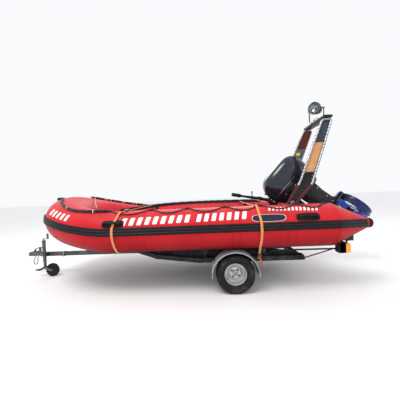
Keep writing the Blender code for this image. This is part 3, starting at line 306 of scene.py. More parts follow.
def wheelPaint():
    # silver paint, dusty, with spots of rust
    sheet = Sheet("wheelPaint")
    dust = sheet.noise(13.0, 6.0, 0.7)
    rust = sheet.noise(34.0, 6.0, 0.7).step(0.66, 0.73)
    tone = sheet.mix(dust.step(0.3, 0.7), (0.60, 0.615, 0.62), (0.47, 0.48, 0.48))
    tone = sheet.mix(dust.step(0.55, 0.8) * 0.5, tone, (0.30, 0.27, 0.23))
    tone = sheet.mix(rust * 0.7, tone, (0.22, 0.10, 0.05))
    gloss, normal = dust.step(0.3, 0.8, 0.28, 0.5), sheet.bump(sheet.noise(180.0), 0.0003, 0.4)
    return sheet.put(Colour=tone, Metallic=0.7 - rust * 0.6, Roughness=gloss, Normal=normal)


def lampGlass(name, colour, other, ribs, direction, glow):
    # moulded lens: ribs in the bump, and a painted highlight that makes each rib brighter towards its middle
    sheet = Sheet(name)
    wave = sheet.waves(ribs, direction)
    patch = sheet.noise(20.0)
    # painted highlight: the lens colour runs from the darker tone to the brighter one across each rib
    tone = sheet.mix(patch.step(0.5, 0.8) * 0.15, sheet.mix(wave, other, colour), other)
    gloss, normal = patch.step(0.3, 0.8, 0.08, 0.2), sheet.bump(wave, 0.0012, 0.8)
    sheet.put(Colour=tone, Roughness=gloss, Normal=normal, Coat=0.5, CoatRough=0.04)
    return sheet.put(Glow=(*colour, 1.0), GlowPower=glow)


def clearGlass():
    sheet = Sheet("clearGlass")
    gloss = sheet.noise(12.0, 4.0).step(0.4, 0.8, 0.01, 0.07)
    normal = sheet.bump(sheet.waves(42.0, "Z"), 0.0006, 0.5)
    return sheet.put(Colour=(0.93, 0.95, 0.96), Clear=1.0, Roughness=gloss, IOR=1.45, Normal=normal)


def polished(name, tone, shade, rough):
    sheet = Sheet(name)
    haze = sheet.noise(40.0, 5.0)
    colour = sheet.mix(haze.step(0.4, 0.75), tone, shade)
    gloss, normal = haze.step(0.3, 0.8, rough, rough * 2.2), sheet.bump(haze, 0.0002, 0.3)
    return sheet.put(Colour=colour, Metallic=1.0, Roughness=gloss, Normal=normal)


finishes = {
    "tube_red": tubeFabric(),
    "black_rubber": plainFinish("blackRubber", (0.006, 0.006, 0.007), (0.013, 0.013, 0.014), 0.5, 300, dust=0.05),
    "hull_skin": plainFinish("hullSkin", (0.014, 0.015, 0.018), (0.035, 0.035, 0.038), 0.6, dust=0.25),
    "floor_board": floorBoard(),
    "transom_board": plainFinish("transomBoard", (0.010, 0.010, 0.012), (0.024, 0.024, 0.026), 0.45, dust=0.15),
    "black_rope": braidedCord("blackRope", (0.008, 0.008, 0.009), (0.035, 0.035, 0.038)),
    "orange_webbing": webbing("orangeWebbing", (0.84, 0.33, 0.115), (0.76, 0.27, 0.10), (0.58, 0.19, 0.07)),
    "rack_tube": polished("rackTube", (0.46, 0.47, 0.49), (0.30, 0.31, 0.33), 0.3),
    "rack_fabric": paddedCloth("coverTan", (0.64, 0.325, 0.15), (0.56, 0.27, 0.115)),
    "rack_black": plainFinish("rackBlack", (0.012, 0.012, 0.014), (0.026, 0.026, 0.028), 0.4, dust=0.15),
    "lamp_black": plainFinish("lampBlack", (0.014, 0.014, 0.016), (0.030, 0.030, 0.033), 0.3, coat=0.3, dust=0.1),
    "lamp_white": plainFinish("lampWhite", (0.80, 0.80, 0.78), (0.72, 0.72, 0.70), 0.3, coat=0.4),
    "lamp_blue": lampGlass("lampBlue", (0.012, 0.085, 0.62), (0.005, 0.03, 0.30), 60.0, "Z", 0.15),
    "engine_black": plainFinish(
        "engineBlack", (0.005, 0.005, 0.007), (0.011, 0.011, 0.014), 0.32, coat=0.15, dust=0.06,
    ),
    "cowl_navy": cowlPaint(),
    "guard_blue": guardPaint("guardNavy", (0.006, 0.012, 0.085), (0.009, 0.018, 0.12)),
    "propeller_alloy": polished("propellerAlloy", (0.78, 0.79, 0.80), (0.5, 0.5, 0.5), 0.22),
    "grip_rubber": plainFinish("gripRubber", (0.012, 0.013, 0.016), (0.028, 0.029, 0.033), 0.5, 420),
    # painted shade: these zinc tones are far darker than bare zinc, for the shade seen on the drawbar
    "galvanised": galvanised("galvanised", (0.12, 0.125, 0.13), (0.06, 0.065, 0.07)),
    "rail_dark": plainFinish("railDark", (0.016, 0.016, 0.019), (0.040, 0.038, 0.038), 0.5, 200, dust=0.25),
    # painted shade, in part: the bunk boards are near-black so that they also fill the shaded gap under the hull with a
    # dark mass
    "bunk_board": plainFinish("bunkBoard", (0.008, 0.008, 0.010), (0.020, 0.020, 0.022), 0.7, 160, dust=0.15),
    "guard_grey": plainFinish("guardGrey", (0.42, 0.44, 0.45), (0.33, 0.345, 0.355), 0.42, 260, dust=0.3),
    "tyre_rubber": wheelRubber("tyreRubber", (0.16, 0.145, 0.13)),
    "wheel_steel": wheelPaint(),
    "stand_black": plainFinish("standBlack", (0.012, 0.012, 0.013), (0.030, 0.029, 0.029), 0.48, dust=0.2),
    "lamp_amber": lampGlass("lampAmber", (0.95, 0.36, 0.02), (0.72, 0.17, 0.01), 70.0, "Y", 0.18),
    "jockey_steel": galvanised("jockeySteel", (0.15, 0.155, 0.16), (0.075, 0.08, 0.085)),
    "jockey_tyre": wheelRubber("jockeyTyre", (0.13, 0.125, 0.12)),
}
extras = {
    "strake": strakeRubber(),
    "sleeveBlack": paddedCloth("sleeveBlack", (0.010, 0.010, 0.011), (0.026, 0.026, 0.028)),
    "coverSlate": paddedCloth("coverSlate", (0.030, 0.040, 0.062), (0.046, 0.058, 0.080)),
    "coverBlack": paddedCloth("coverBlack", (0.009, 0.009, 0.010), (0.022, 0.022, 0.024)),
    "coverGrey": paddedCloth("coverGrey", (0.085, 0.095, 0.10), (0.12, 0.13, 0.135)),
    # dark maroon cloth: its own colour on the leg sleeves, and painted shade on the starboard top cover, which stands
    # for an orange cover seen in shade
    "coverBrown": paddedCloth("coverBrown", (0.115, 0.022, 0.018), (0.07, 0.016, 0.014)),
    "markWhite": plainFinish("markWhite", (0.86, 0.86, 0.85), (0.74, 0.73, 0.72), 0.45, 300, smear=12.0, dust=0.12),
    "badgeBlack": plainFinish("badgeBlack", (0.012, 0.014, 0.030), (0.022, 0.024, 0.040), 0.3, coat=0.3),
    "trimSilver": polished("trimSilver", (0.76, 0.77, 0.78), (0.55, 0.56, 0.57), 0.2),
    "chrome": polished("chrome", (0.86, 0.87, 0.88), (0.66, 0.67, 0.68), 0.06),
    "glass": clearGlass(),
    "boltZinc": polished("boltZinc", (0.70, 0.70, 0.68), (0.45, 0.43, 0.38), 0.28),
    "ratchetSteel": polished("ratchetSteel", (0.36, 0.27, 0.18), (0.22, 0.15, 0.10), 0.35),
    "tailPink": webbing("tailPink", (0.82, 0.14, 0.15), (0.70, 0.10, 0.12), (0.50, 0.07, 0.08)),
    "guardBright": guardPaint("guardBright", (0.010, 0.052, 0.40), (0.014, 0.07, 0.50)),
    "whiteCord": braidedCord("whiteCord", (0.42, 0.42, 0.40), (0.80, 0.80, 0.77), 0.009),
    "hoseBlack": plainFinish("hoseBlack", (0.010, 0.010, 0.011), (0.022, 0.022, 0.024), 0.4, 300),
    "brassYellow": plainFinish("tagYellow", (0.80, 0.62, 0.06), (0.66, 0.50, 0.05), 0.45),
    "studDark": polished("studDark", (0.10, 0.10, 0.105), (0.05, 0.045, 0.04), 0.4),
    "hubGrey": polished("hubGrey", (0.30, 0.31, 0.32), (0.20, 0.20, 0.21), 0.35),
    # painted shade: a dark grey metal instead of bright chrome, for the dark look of the lamp face
    "reflector": polished("reflector", (0.26, 0.27, 0.29), (0.12, 0.13, 0.14), 0.16),
}
for entry in frame["record"]["subparts"]:
    for slot in nodes[entry["node"]].material_slots:
        slot.material = finishes[entry["material_slot"]]
print("finishes:", len(finishes) + len(extras))


# Camera, light and floor

stage = {
    # metres from the axle for the camera, degrees for its turn, millimetres for the lens
    "aheadOfAxle": 0.2574, "distance": 3.539, "height": 1.176, "yaw": -2.465, "pitch": 1.721, "roll": -2.499,
    "lens": 21.15, "sensor": 36.0, "floorSize": 80.0, "floorGrey": 0.90, "skyPower": 0.98,
}
axleX = sum(v.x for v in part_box("tyre_port")) / 2


def addCamera():
    yaw, pitch, roll = (math.radians(stage[key]) for key in ("yaw", "pitch", "roll"))
    ahead = Vector((math.sin(yaw) * math.cos(pitch), math.cos(yaw) * math.cos(pitch), -math.sin(pitch)))
    right = Vector((math.cos(yaw), -math.sin(yaw), 0))
    above = right.cross(ahead)
    side = right * math.cos(roll) + above * math.sin(roll)
    top = above * math.cos(roll) - right * math.sin(roll)
    bpy.ops.object.camera_add(location=(axleX - stage["aheadOfAxle"], -stage["distance"], stage["height"]))
    camera = bpy.context.object
    turn = Matrix((side, top, -ahead)).transposed().to_4x4()
    camera.matrix_world = Matrix.Translation(camera.location) @ turn
    camera.data.lens = stage["lens"]
    camera.data.sensor_width = stage["sensor"]
    bpy.context.scene.camera = camera


def addLight(name, place, aim, size, power, colour=(1, 1, 1)):
    bpy.ops.object.light_add(type="AREA", location=place)
    light = bpy.context.object
    light.name = name
    light.data.shape = "RECTANGLE"
    light.data.size, light.data.size_y = size
    light.data.energy = power
    light.data.color = colour
    light.rotation_euler = (Vector(aim) - Vector(place)).to_track_quat("-Z", "Y").to_euler()


def addFloor():
    bpy.ops.mesh.primitive_plane_add(size=stage["floorSize"])
    floor = bpy.context.object
    floor.name = "studioFloor"
    sheet = Sheet("studioFloor")
    grey = stage["floorGrey"]
    tone = sheet.mix(sheet.noise(0.8, 2.0), (grey,) * 3, (grey * 0.98,) * 3)
    floor.data.materials.append(sheet.put(Colour=tone, Roughness=0.9))


def addWorld():
    world = bpy.data.worlds.new("studio")
    world.use_nodes = True
    background = world.node_tree.nodes["Background"]
    background.inputs[0].default_value = (0.97, 0.98, 1.0, 1.0)
    background.inputs[1].default_value = stage["skyPower"]
    bpy.context.scene.world = world


bpy.ops.object.select_all(action="DESELECT")
bpy.context.scene.view_settings.view_transform = "Standard"
addCamera()
addWorld()
addFloor()
addLight("key", (-2.2, -3.6, 7.0), (0.2, 0.0, 0.6), (3.0, 3.0), 300.0, (1.0, 0.985, 0.95))
addLight("fill", (5.0, -4.0, 2.6), (0.5, 0.0, 0.8), (3.5, 2.5), 20.0)
addLight("rim", (0.5, 6.0, 4.5), (0.0, 0.0, 1.0), (6.0, 3.0), 90.0)
print("stage ready")


# Hands: picking, shaping and finishing a piece

hullBody = "boat_on_trailer"
mergeGap = 0.00002


def at(x, y, z):
    # a place measured from the axle
    return Vector((x + axleX, y, z))


def farPoint(point):
    # the same place on the other side of the middle line
    return Vector((point.x, -point.y, point.z))


def linked(name, mesh):
    piece = bpy.data.objects.new(name, mesh)
    bpy.context.scene.collection.objects.link(piece)
    return piece


def pick(*pieces):
    if bpy.context.object and bpy.context.object.mode != "OBJECT":
        bpy.ops.object.mode_set(mode="OBJECT")
    bpy.ops.object.select_all(action="DESELECT")
    for piece in pieces:
        piece.select_set(True)
    bpy.context.view_layer.objects.active = pieces[0]
    return pieces[0]


def openUp(piece):
    # edit mode with all of the mesh selected
    pick(piece)
    bpy.ops.object.mode_set(mode="EDIT")
    bpy.ops.mesh.select_mode(type="VERT")
    bpy.ops.mesh.select_all(action="SELECT")


def closeUp(merge=True):
    # merges what touches, turns the faces outward and leaves edit mode
    if merge:
        bpy.ops.mesh.remove_doubles(threshold=mergeGap)
    bpy.ops.mesh.normals_make_consistent(inside=False)
    bpy.ops.object.mode_set(mode="OBJECT")


def applied(piece):
    pick(piece)
    bpy.ops.object.transform_apply(location=True, rotation=True, scale=True)


def block(name, low, high, bevel=0.002, rounds=2, turn=None):
    # a bevelled block between two corners
    low, high = Vector(low), Vector(high)
    bpy.ops.object.select_all(action="DESELECT")
    bpy.ops.mesh.primitive_cube_add(size=1.0, location=(low + high) / 2, scale=high - low)
    piece = bpy.context.object
    piece.name = name
    applied(piece)
    openUp(piece)
    bpy.ops.mesh.bevel(offset=bevel, segments=rounds, affect="EDGES")
    bpy.ops.object.mode_set(mode="OBJECT")
    if turn is not None:
        piece.data.transform(turn)
    return piece


def lathe(name, profile, centre, axis, steps=48, turn=None):
    # a profile of (radius, along) spun round an axis; it starts and ends on the axis or closes on itself
    lay = {"X": lambda r, t: (t, 0, r), "Y": lambda r, t: (r, t, 0), "Z": lambda r, t: (r, 0, t)}[axis]
    last = len(profile) - 1
    edges = [(i, i + 1) for i in range(last)]
    if profile[0][0]:
        edges.append((last, 0))
    mesh = bpy.data.meshes.new(name)
    mesh.from_pydata([lay(r, t) for r, t in profile], edges, [])
    piece = linked(name, mesh)
    openUp(piece)
    spindle = {"X": (1, 0, 0), "Y": (0, 1, 0), "Z": (0, 0, 1)}[axis]
    bpy.ops.mesh.spin(steps=steps, angle=2 * math.pi, center=(0, 0, 0), axis=spindle)
    bpy.ops.mesh.select_all(action="SELECT")
    closeUp()
    mesh.transform(Matrix.Translation(Vector(centre)))
    if turn is not None:
        mesh.transform(turn)
    return piece


def drum(name, radius, low, high, centre, axis, bevel, steps):
    # a short cylinder with eased rims
    inner = radius - bevel
    rim = [(inner, low), (radius, low + bevel), (radius, high - bevel), (inner, high)]
    return lathe(name, [(0, low), *rim, (0, high)], centre, axis, steps)


def welded(name, parts, turn=None):
    # several closed shapes kept as one piece
    piece = pick(*parts)
    bpy.ops.object.join()
    piece.name = name
    if turn is not None:
        piece.data.transform(turn)
    return piece


def skin(name, rings, loop=False, layers=None):
    # a skin over closed rings of points, capped unless it loops, with layers of numbers on its corners
    count, rows = len(rings[0]), len(rings)
    faces, grid = [], []
    for i in range(rows if loop else rows - 1):
        for k in range(count):
            a, b, n = i * count, ((i + 1) % rows) * count, (k + 1) % count
            faces.append((a + k, a + n, b + n, b + k))
            grid += [(i, k), (i, k + 1), (i + 1, k + 1), (i + 1, k)]
    if not loop:
        faces.append(tuple(reversed(range(count))))
        grid += [(0, k) for k in reversed(range(count))]
        faces.append(tuple(range((rows - 1) * count, rows * count)))
        grid += [(rows - 1, k) for k in range(count)]
    mesh = bpy.data.meshes.new(name)
    mesh.from_pydata([point for ring in rings for point in ring], [], faces)
    for layer, value in (layers or {}).items():
        mesh.attributes.new(layer, "FLOAT", "CORNER").data.foreach_set("value", [value(i, k) for i, k in grid])
    piece = linked(name, mesh)
    openUp(piece)
    closeUp(merge=False)
    return piece


def plate(name, outline, half):
    # a flat plate on the middle line: an outline of (x, z) with half its thickness
    return skin(name, [[Vector((x, y, z)) for x, z in outline] for y in (-half, half)])


def smoothPath(points, steps=4):
    # a smooth curve through the points
    path = [Vector(p) for p in points]
    path = [path[0] * 2 - path[1]] + path + [path[-1] * 2 - path[-2]]
    out = []
    for i in range(1, len(path) - 2):
        before, a, b, after = path[i - 1:i + 3]
        for k in range(steps):
            t = k / steps
            bend = (2 * before - 5 * a + 4 * b - after) * t * t + (3 * a - before - 3 * b + after) * t ** 3
            out.append((2 * a + (b - before) * t + bend) * 0.5)
    return out + [path[-2]]


def rounded(points, radius, steps=5):
    # the path through the points with its corners rounded off
    path = [Vector(p) for p in points]
    out = [path[0]]
    for before, corner, after in zip(path, path[1:], path[2:]):
        start = corner + (before - corner).normalized() * radius
        end = corner + (after - corner).normalized() * radius
        for k in range(steps + 1):
            t = k / steps
            out.append(start * (1 - t) ** 2 + corner * (2 * t * (1 - t)) + end * t ** 2)
    return out + [path[-1]]


def hose(name, points, radius, sides=12):
    # a round section carried along a path; radius is a number or one for each point
    path = [Vector(p) for p in points]
    radii = radius if isinstance(radius, list) else [radius] * len(path)
    runs = [(b - a).normalized() for a, b in zip(path, path[1:])]
    turns = [2 * math.pi * k / sides for k in range(sides)]
    side = runs[0].orthogonal().normalized()
    rings, lengths = [], [0.0]
    for i, point in enumerate(path):
        ahead = (runs[max(i - 1, 0)] + runs[min(i, len(runs) - 1)]).normalized()
        side = (side - ahead * side.dot(ahead)).normalized()
        up = ahead.cross(side)
        rings.append([point + (side * math.cos(a) + up * math.sin(a)) * radii[i] for a in turns])
        if i:
            lengths.append(lengths[-1] + (point - path[i - 1]).length)
    layers = {"along": lambda i, k: lengths[i], "around": lambda i, k: 360.0 * k / sides}
    return skin(name, rings, layers=layers)


def farSide(piece, name):
    # the same piece on the other side of the middle line
    mesh = piece.data.copy()
    mesh.transform(Matrix.Scale(-1, 4, Vector((0, 1, 0))))
    mesh.flip_normals()
    return linked(name, mesh)


def finishPiece(piece, slot, finish=None, standsFor=None, smooth=35.0, body=hullBody):
    applied(piece)
    piece.data.materials.clear()
    piece.data.materials.append(extras[finish] if finish else finishes[slot])
    bpy.ops.object.shade_smooth_by_angle(angle=math.radians(smooth))
    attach(piece, body)
    if standsFor:
        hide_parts(standsFor)
    return piece


def bothSides(piece, name, slot, finish=None, standsFor=None, smooth=35.0, body=hullBody):
    # finishes the port piece and its mirror; standsFor and body may hold {} for the side
    far = farSide(piece, name + "Starboard")
    piece.name = name + "Port"
    for made, side in ((piece, "port"), (far, "starboard")):
        node = standsFor.format(side) if standsFor else None
        finishPiece(made, slot, finish, node, smooth, body.format(side))


# Breakaway cable, before the other pieces

cable = {
    "radius": 0.0055, "sleeve": 0.0078,
    "route": (
        (-3.012, 0.0, 0.3098), (-3.012, 0.0, 0.300), (-3.045, 0.012, 0.255), (-3.072, 0.022, 0.205),
        (-3.062, 0.034, 0.168), (-3.042, 0.046, 0.162), (-3.032, 0.056, 0.195), (-3.030, 0.054, 0.245),
        (-2.995, 0.028, 0.282), (-2.97, 0.0, 0.300), (-2.97, 0.0, 0.3107),
    ),
}


def breakawayCable():
    route = [Vector(p) + Vector((axleX, 0, 0)) for p in cable["route"]]
    path = [route[0]] + smoothPath(route, 4)[4:-4] + [route[-1]]
    length = sum((b - a).length for a, b in zip(path, path[1:]))
    cord = hose("breakawayCable", path, cable["radius"], 10)
    finishPiece(cord, "black_rope", "hoseBlack", "breakaway_cable")
    ends = [route[9] + Vector((0, 0, z)) for z in (-0.004, 0.009)]
    sleeve = finishPiece(hose("cableSleeve", ends, cable["sleeve"], 10), "jockey_steel", "boltZinc")
    tuple(path[0])
    [tuple(p) for p in path]


breakawayCable()
print("cable done")


# Buoyancy tube and what is fixed to it

hull = {
    "radius": 0.248, "halfSpread": 0.735, "height": 0.747, "bowStart": -1.466, "bowLength": 0.877, "bowRise": 0.167,
    "risePower": 1.35, "bowSwell": 0.037, "coneStart": 1.13, "coneEnd": 1.55, "coneRadius": 0.055, "strakeAngle": 7.0,
    "strakeEnd": 1.51, "seams": (-2.04, -1.05, 0.02, 0.62, 1.13, 1.34), "sides": 72,
}
upward = Vector((0, 0, 1))


def bowTurn(x):
    return math.asin(min(max((hull["bowStart"] - x) / hull["bowLength"], 0.0), 1.0))


def tubeCentre(x):
    turn = bowTurn(x)
    rise = max((hull["bowStart"] - x) / hull["bowLength"], 0.0)
    outward = Vector((-hull["halfSpread"] * math.sin(turn), -hull["bowLength"] * math.cos(turn), 0)).normalized()
    height = hull["height"] + hull["bowRise"] * rise ** hull["risePower"]
    return at(x, -hull["halfSpread"] * math.cos(turn), height), outward


def tubeRadius(x):
    if x > hull["coneStart"]:
        share = (x - hull["coneStart"]) / (hull["coneEnd"] - hull["coneStart"])
        return hull["radius"] + (hull["coneRadius"] - hull["radius"]) * share
    return hull["radius"] + hull["bowSwell"] * math.sin(bowTurn(x)) ** 2


def onTube(x, angle, proud=0.0, side="port"):
    # x from the axle, angle 0 on the outer side and 90 on top, proud over the cloth
    centre, outward = tubeCentre(x)
    a = math.radians(angle)
    point = centre + (outward * math.cos(a) + upward * math.sin(a)) * (tubeRadius(x) + proud)
    return farPoint(point) if side == "starboard" else point


def portPlaces(aftEnd):
    # x along the port tube: dense at the cone, then even, then spaced by the turn of the bow
    straight = [aftEnd - 0.02 * k for k in range(60) if aftEnd - 0.02 * k > 1.02]
    straight += [1.0 - 0.05 * k for k in range(50) if 1.0 - 0.05 * k > hull["bowStart"] + 0.02]
    return straight + [hull["bowStart"] - hull["bowLength"] * math.sin(math.pi / 2 * k / 40) for k in range(41)]


def aroundTheBow(aftEnd, ringAt):
    port = [ringAt(x) for x in portPlaces(aftEnd)]
    return port + [[farPoint(p) for p in ring] for ring in reversed(port[:-1])]


def aroundAngle(k):
    return -90.0 + 360.0 * k / hull["sides"]


def buoyancyTube():
    def ringAt(x):
        # the cloth is drawn in a little at each glued seam
        pinch = sum(-0.0016 * math.exp(-((x - seam) / 0.02) ** 2) for seam in hull["seams"])
        return [onTube(x, aroundAngle(k), pinch) for k in range(hull["sides"])]

    places = portPlaces(hull["coneEnd"])
    xs = places + places[-2::-1]

    def seamAt(i):
        # 0 before a seam tape, 1 past it, so the shader finds both edges
        return max([1.0 - min(abs(xs[i] - seam) / 0.035, 1.0) for seam in hull["seams"]])

    tube = skin("buoyancySkin", aroundTheBow(hull["coneEnd"], ringAt), layers={
        "around": lambda i, k: aroundAngle(k), "seam": lambda i, k: seamAt(i),
    })
    finishPiece(tube, "tube_red", None, "buoyancy_tube", 60)


def seamTapes():
    # flat glued tapes round the tube at its panel joints; columns: along, proud
    section = ((-0.021, -0.004), (-0.021, 0.0006), (0.021, 0.0006), (0.021, -0.004))
    for number, x in enumerate(hull["seams"][:5]):
        rings = [[onTube(x + u, aroundAngle(k), h) for u, h in section] for k in range(hull["sides"])]
        layers = {"around": lambda i, k: aroundAngle(i), "seam": lambda i, k: 0.0}
        bothSides(skin("tape", rings, True, layers), "seamTape%d" % number, "tube_red")


def rubbingStrake():
    # columns: height across and how proud, in millimetres, for the upper half from the middle out
    half = (
        (9, 19.8), (12, 17), (15, 15.5), (18, 17), (21, 19.8), (32, 19.6), (37, 18.6), (42, 14), (44.5, 6), (45, -5),
    )
    section = [(-high, proud) for high, proud in reversed(half)] + list(half)

    def ringAt(x):
        ring = []
        for high, proud in section:
            reach = 1.0 if proud < 8 else 0.937
            angle = math.degrees(math.asin(high * reach / 1000 / tubeRadius(x)))
            ring.append(onTube(x, hull["strakeAngle"] + angle, proud / 1000))
        return ring

    layers = {"rib": lambda i, k: float(section[k % len(section)][0])}
    strake = skin("rubbingStrakeSkin", aroundTheBow(hull["strakeEnd"], ringAt), layers=layers)
    finishPiece(strake, "black_rubber", "strake", "rubbing_strake", 40)


def patch(xs, angles, proud, power, slant, columns, rows, crown=0.0):
    # a thin patch that lies on the port tube, its outline from round (power 2) to square (power 20)
    sunk, rings = -0.002, []
    for i in range(columns + 1):
        u = math.sin(math.pi / 2 * (2 * i / columns - 1)) * 0.999
        half = (1 - abs(u) ** power) ** (1 / power)
        x = (xs[0] + xs[1]) / 2 + (xs[1] - xs[0]) / 2 * u
        outer, inner = [], []
        for k in range(rows + 1):
            v = (2 * k / rows - 1) * half
            middle = (angles[0] + angles[1]) / 2 + (angles[1] - angles[0]) / 2 * v
            lift = proud + crown * max(1 - u * u, 0) * max(1 - v * v, 0)
            outer.append(onTube(x + slant * v, middle, lift))
            inner.append(onTube(x + slant * v, middle, sunk))
        rings.append(outer + inner[::-1])
    return skin("patch", rings)


markings = {
    # columns: first x, pitch, how many, share of the pitch that is white, low and high angle at each end
    "main": (
        (-1.262, 0.0897, 9, 0.56, (23.0, 26.2), (45.0, 49.5)), (-0.412, 0.0840, 7, 0.56, (26.6, 29.5), (50.0, 54.0)),
    ),
    "bow": ((-2.125, 0.060, 5, 0.52, (27.0, 25.5), (45.0, 44.0)),),
    "stern": ((0.395, 0.0425, 13, 0.55, (53.0, 47.0), (68.5, 61.0)),),
}


def plainMarkings():
    # slanted white bars, the same on both sides
    for row, groups in markings.items():
        bars = []
        for start, pitch, count, share, *ends in groups:
            for k in range(count):
                x, t = start + pitch * k, k / (count - 1)
                angles = [first + (last - first) * t for first, last in ends]
                bars.append(patch((x, x + pitch * share), angles, 0.0013, 14.0, pitch * 0.13, 8, 6))
        bothSides(welded(row, bars), row + "Bars", "tube_red", "markWhite")


def blankBadge():
    bothSides(patch((0.190, 0.562), (19.6, 40.6), 0.0022, 3.2, 0.0, 28, 12), "badgeRim", "tube_red", "trimSilver")
    bothSides(patch((0.199, 0.553), (20.9, 39.3), 0.0028, 3.2, 0.0, 28, 12), "badgeFace", "tube_red", "badgeBlack")


def squared(a, power):
    # cosine and sine of a rounded square instead of a circle
    return [math.copysign(abs(v) ** power, v) for v in (math.cos(a), math.sin(a))]


def grabHandles():
    # columns: end of the boat, x from the axle
    count, middle, half = 56, 29.0, 0.105
    for end, x in (("fore", -1.36), ("aft", 0.795)):
        parts = [patch((x - 0.124, x + 0.124), (19.2, 38.8), 0.0050, 5.0, 0.0, 26, 10, 0.0025)]
        lip, rings = [], []
        for k in range(count):
            u, v = squared(2 * math.pi * k / count, 0.45)
            lip.append(onTube(x + 0.114 * u, middle + 8.6 * v, 0.0065))
        for i, point in enumerate(lip):
            ahead = (lip[(i + 1) % count] - lip[i - 1]).normalized()
            up = (point - tubeCentre(x)[0]).normalized()
            out = ahead.cross(up).normalized()
            angles = (0, 0.8, 1.57, 2.3, 3.14, 4.7)
            rings.append([point + (out * math.cos(a) + up * math.sin(a)) * 0.0048 for a in angles])
        parts.append(skin("rim", rings, True))
        # columns: share of the half length, proud
        bend = ((-1, 0.002), (-1, 0.022), (-0.78, 0.037), (0.78, 0.037), (1, 0.022), (1, 0.002))
        path = rounded([onTube(x + half * share, middle, proud) for share, proud in bend], 0.016)
        swell = [0.0125 + 0.0012 * math.sin(math.pi * i / (len(path) - 1)) for i in range(len(path))]
        parts.append(hose("grip", path, swell, 14))
        bothSides(welded("grab", parts), "grab" + end.title(), "black_rubber", None, "grab_handle_{}_" + end, 50)


lines = {
    "holds": (-1.46, -0.95, -0.53, -0.09, 0.32, 0.73, 1.05), "radius": 0.007, "sleeve": 0.014, "start": -2.262,
    "high": 84.0, "low": 57.0,
}


def linePoints(side):
    # the padded part at the bow, then scallops from hold to hold; the far one is pulled up onto the crown
    top, dip = (lines["high"] - 4.0, 20.0) if side == "port" else (96.0, 5.0)
    holds, proud = lines["holds"], lines["radius"] + 0.0025
    start, end = lines["start"], holds[0] - 0.02
    padded, thin = [], []
    for k in range(31):
        t = k / 30
        angle = top - dip * math.sin(math.pi * t) ** 1.2
        padded.append(onTube(start + (end - start) * t, angle, lines["sleeve"] + 0.0015, side))
    for a, b in zip(holds, holds[1:]):
        steps = max(6, round((b - a) / 0.026))
        for k in range(steps):
            t = k / steps
            angle = lines["high"] - (lines["high"] - lines["low"]) * math.sin(math.pi * t) ** 0.9
            thin.append(onTube(a + (b - a) * t, angle, proud, side))
    return padded, thin + [onTube(holds[-1], lines["high"], proud, side)]


def lifelines():
    for side, marked in (("port", (12, 24)), ("starboard", (6, 7, 9, 16, 17, 23, 25))):
        padded, thin = linePoints(side)
        rope = hose("lifelineRope" + side.title(), padded[::2] + thin, lines["radius"], 10)
        finishPiece(rope, "black_rope", None, "lifeline_" + side, 60)
        swell = [lines["sleeve"] * (0.62 if i in (0, 30) else 1.22 + 0.10 * math.cos(i * 1.9)) for i in range(31)]
        sleeve = hose("lifelineSleeve" + side.title(), padded, swell)
        finishPiece(sleeve, "black_rope", "sleeveBlack", None, 60)
        rings = [hose("ring", [padded[i], padded[i].lerp(padded[i + 1], 0.28)], 0.0192) for i in marked]
        finishPiece(welded("sleeveRings" + side.title(), rings), "black_rope", "markWhite")
    holders = []
    for x in lines["holds"]:
        holders.append(patch((x - 0.042, x + 0.042), (76.0, 92.0), 0.004, 2.4, 0.0, 16, 8, 0.003))
        cuff = [onTube(x + step, lines["high"], 0.0085) for step in (-0.017, -0.014, 0.014, 0.017)]
        holders.append(hose("cuff", cuff, [0.0085, 0.0115, 0.0115, 0.0085]))
    bothSides(welded("holds", holders), "lineHolds", "black_rubber", None, None, 50)


def shoulderPad():
    # soft black wear pad along the far tube's inner shoulder; columns: x from the axle, angle
    course = (
        (-1.92, 152.0), (-1.76, 143.0), (-1.60, 133.0), (-1.32, 119.0), (-1.06, 109.0), (-0.70, 99.5), (-0.36, 97.0),
        (-0.10, 99.0), (0.27, 104.0), (0.64, 109.0),
    )
    rings = []
    path = smoothPath([(x, angle / 100, 0) for x, angle in course], 7)
    for k, spot in enumerate(path):
        ends = min(k, len(path) - 1 - k) / 3
        puff = min(1.0, 0.25 + 0.75 * ends) * (0.94 + 0.06 * math.sin(k * 2.1))
        half, lift, middle = 7.5 * puff, 0.044 * puff, spot.y * 100
        over = [(j / 6 - 1, lift * (1 - abs(j / 6 - 1) ** 3.0) + 0.0005) for j in range(13)]
        over += [(share, -0.001) for share in (0.5, 0.0, -0.5)]
        rings.append([onTube(spot.x, middle + half * share, proud, "starboard") for share, proud in over])
    pad = skin("shoulderPad", rings)
    finishPiece(pad, "black_rope", "sleeveBlack", None, 60)


def bowHandle():
    turn = Matrix.Translation(onTube(-2.343, 52.0)) @ Matrix.Rotation(math.radians(52.0 - 90.0), 4, "Y")
    parts = [block("base", (-0.045, -0.13, -0.012), (0.045, 0.13, 0.0098), 0.0045, 3)]
    loop = rounded([(0, -0.10, -0.01), (0, -0.086, 0.055), (0, 0.086, 0.055), (0, 0.10, -0.01)], 0.03, 7)
    parts.append(hose("grip", loop, 0.0155, 16))
    for k in range(11):
        y = -0.05 + 0.01 * k
        parts.append(hose("rib", [(0, y - 0.002, 0.055), (0, y + 0.002, 0.055)], 0.0168, 16))
    finishPiece(welded("bowHandleLoop", parts, turn), "black_rubber", None, "bow_handle", 45)
    studs = [(x, y, 0) for x in (-0.03, 0.03) for y in (-0.112, 0.112)]
    bolts = [drum("bolt", 0.007, 0.008, 0.013, spot, "Z", 0.0015, 16) for spot in studs]
    finishPiece(welded("bowHandleStuds", bolts, turn), "black_rubber", "boltZinc")


def painterRope():
    # the thin white rope across the inside of the bow
    points = (
        (-2.17, 0.30, 1.195), (-2.10, 0.16, 1.115), (-2.02, 0.02, 1.055), (-1.95, -0.12, 1.02), (-1.90, -0.24, 1.02),
        (-1.87, -0.33, 1.05),
    )
    path = smoothPath([at(*p) for p in points], 6)
    finishPiece(hose("painterRope", path, 0.004, 8), "black_rope", "whiteCord")


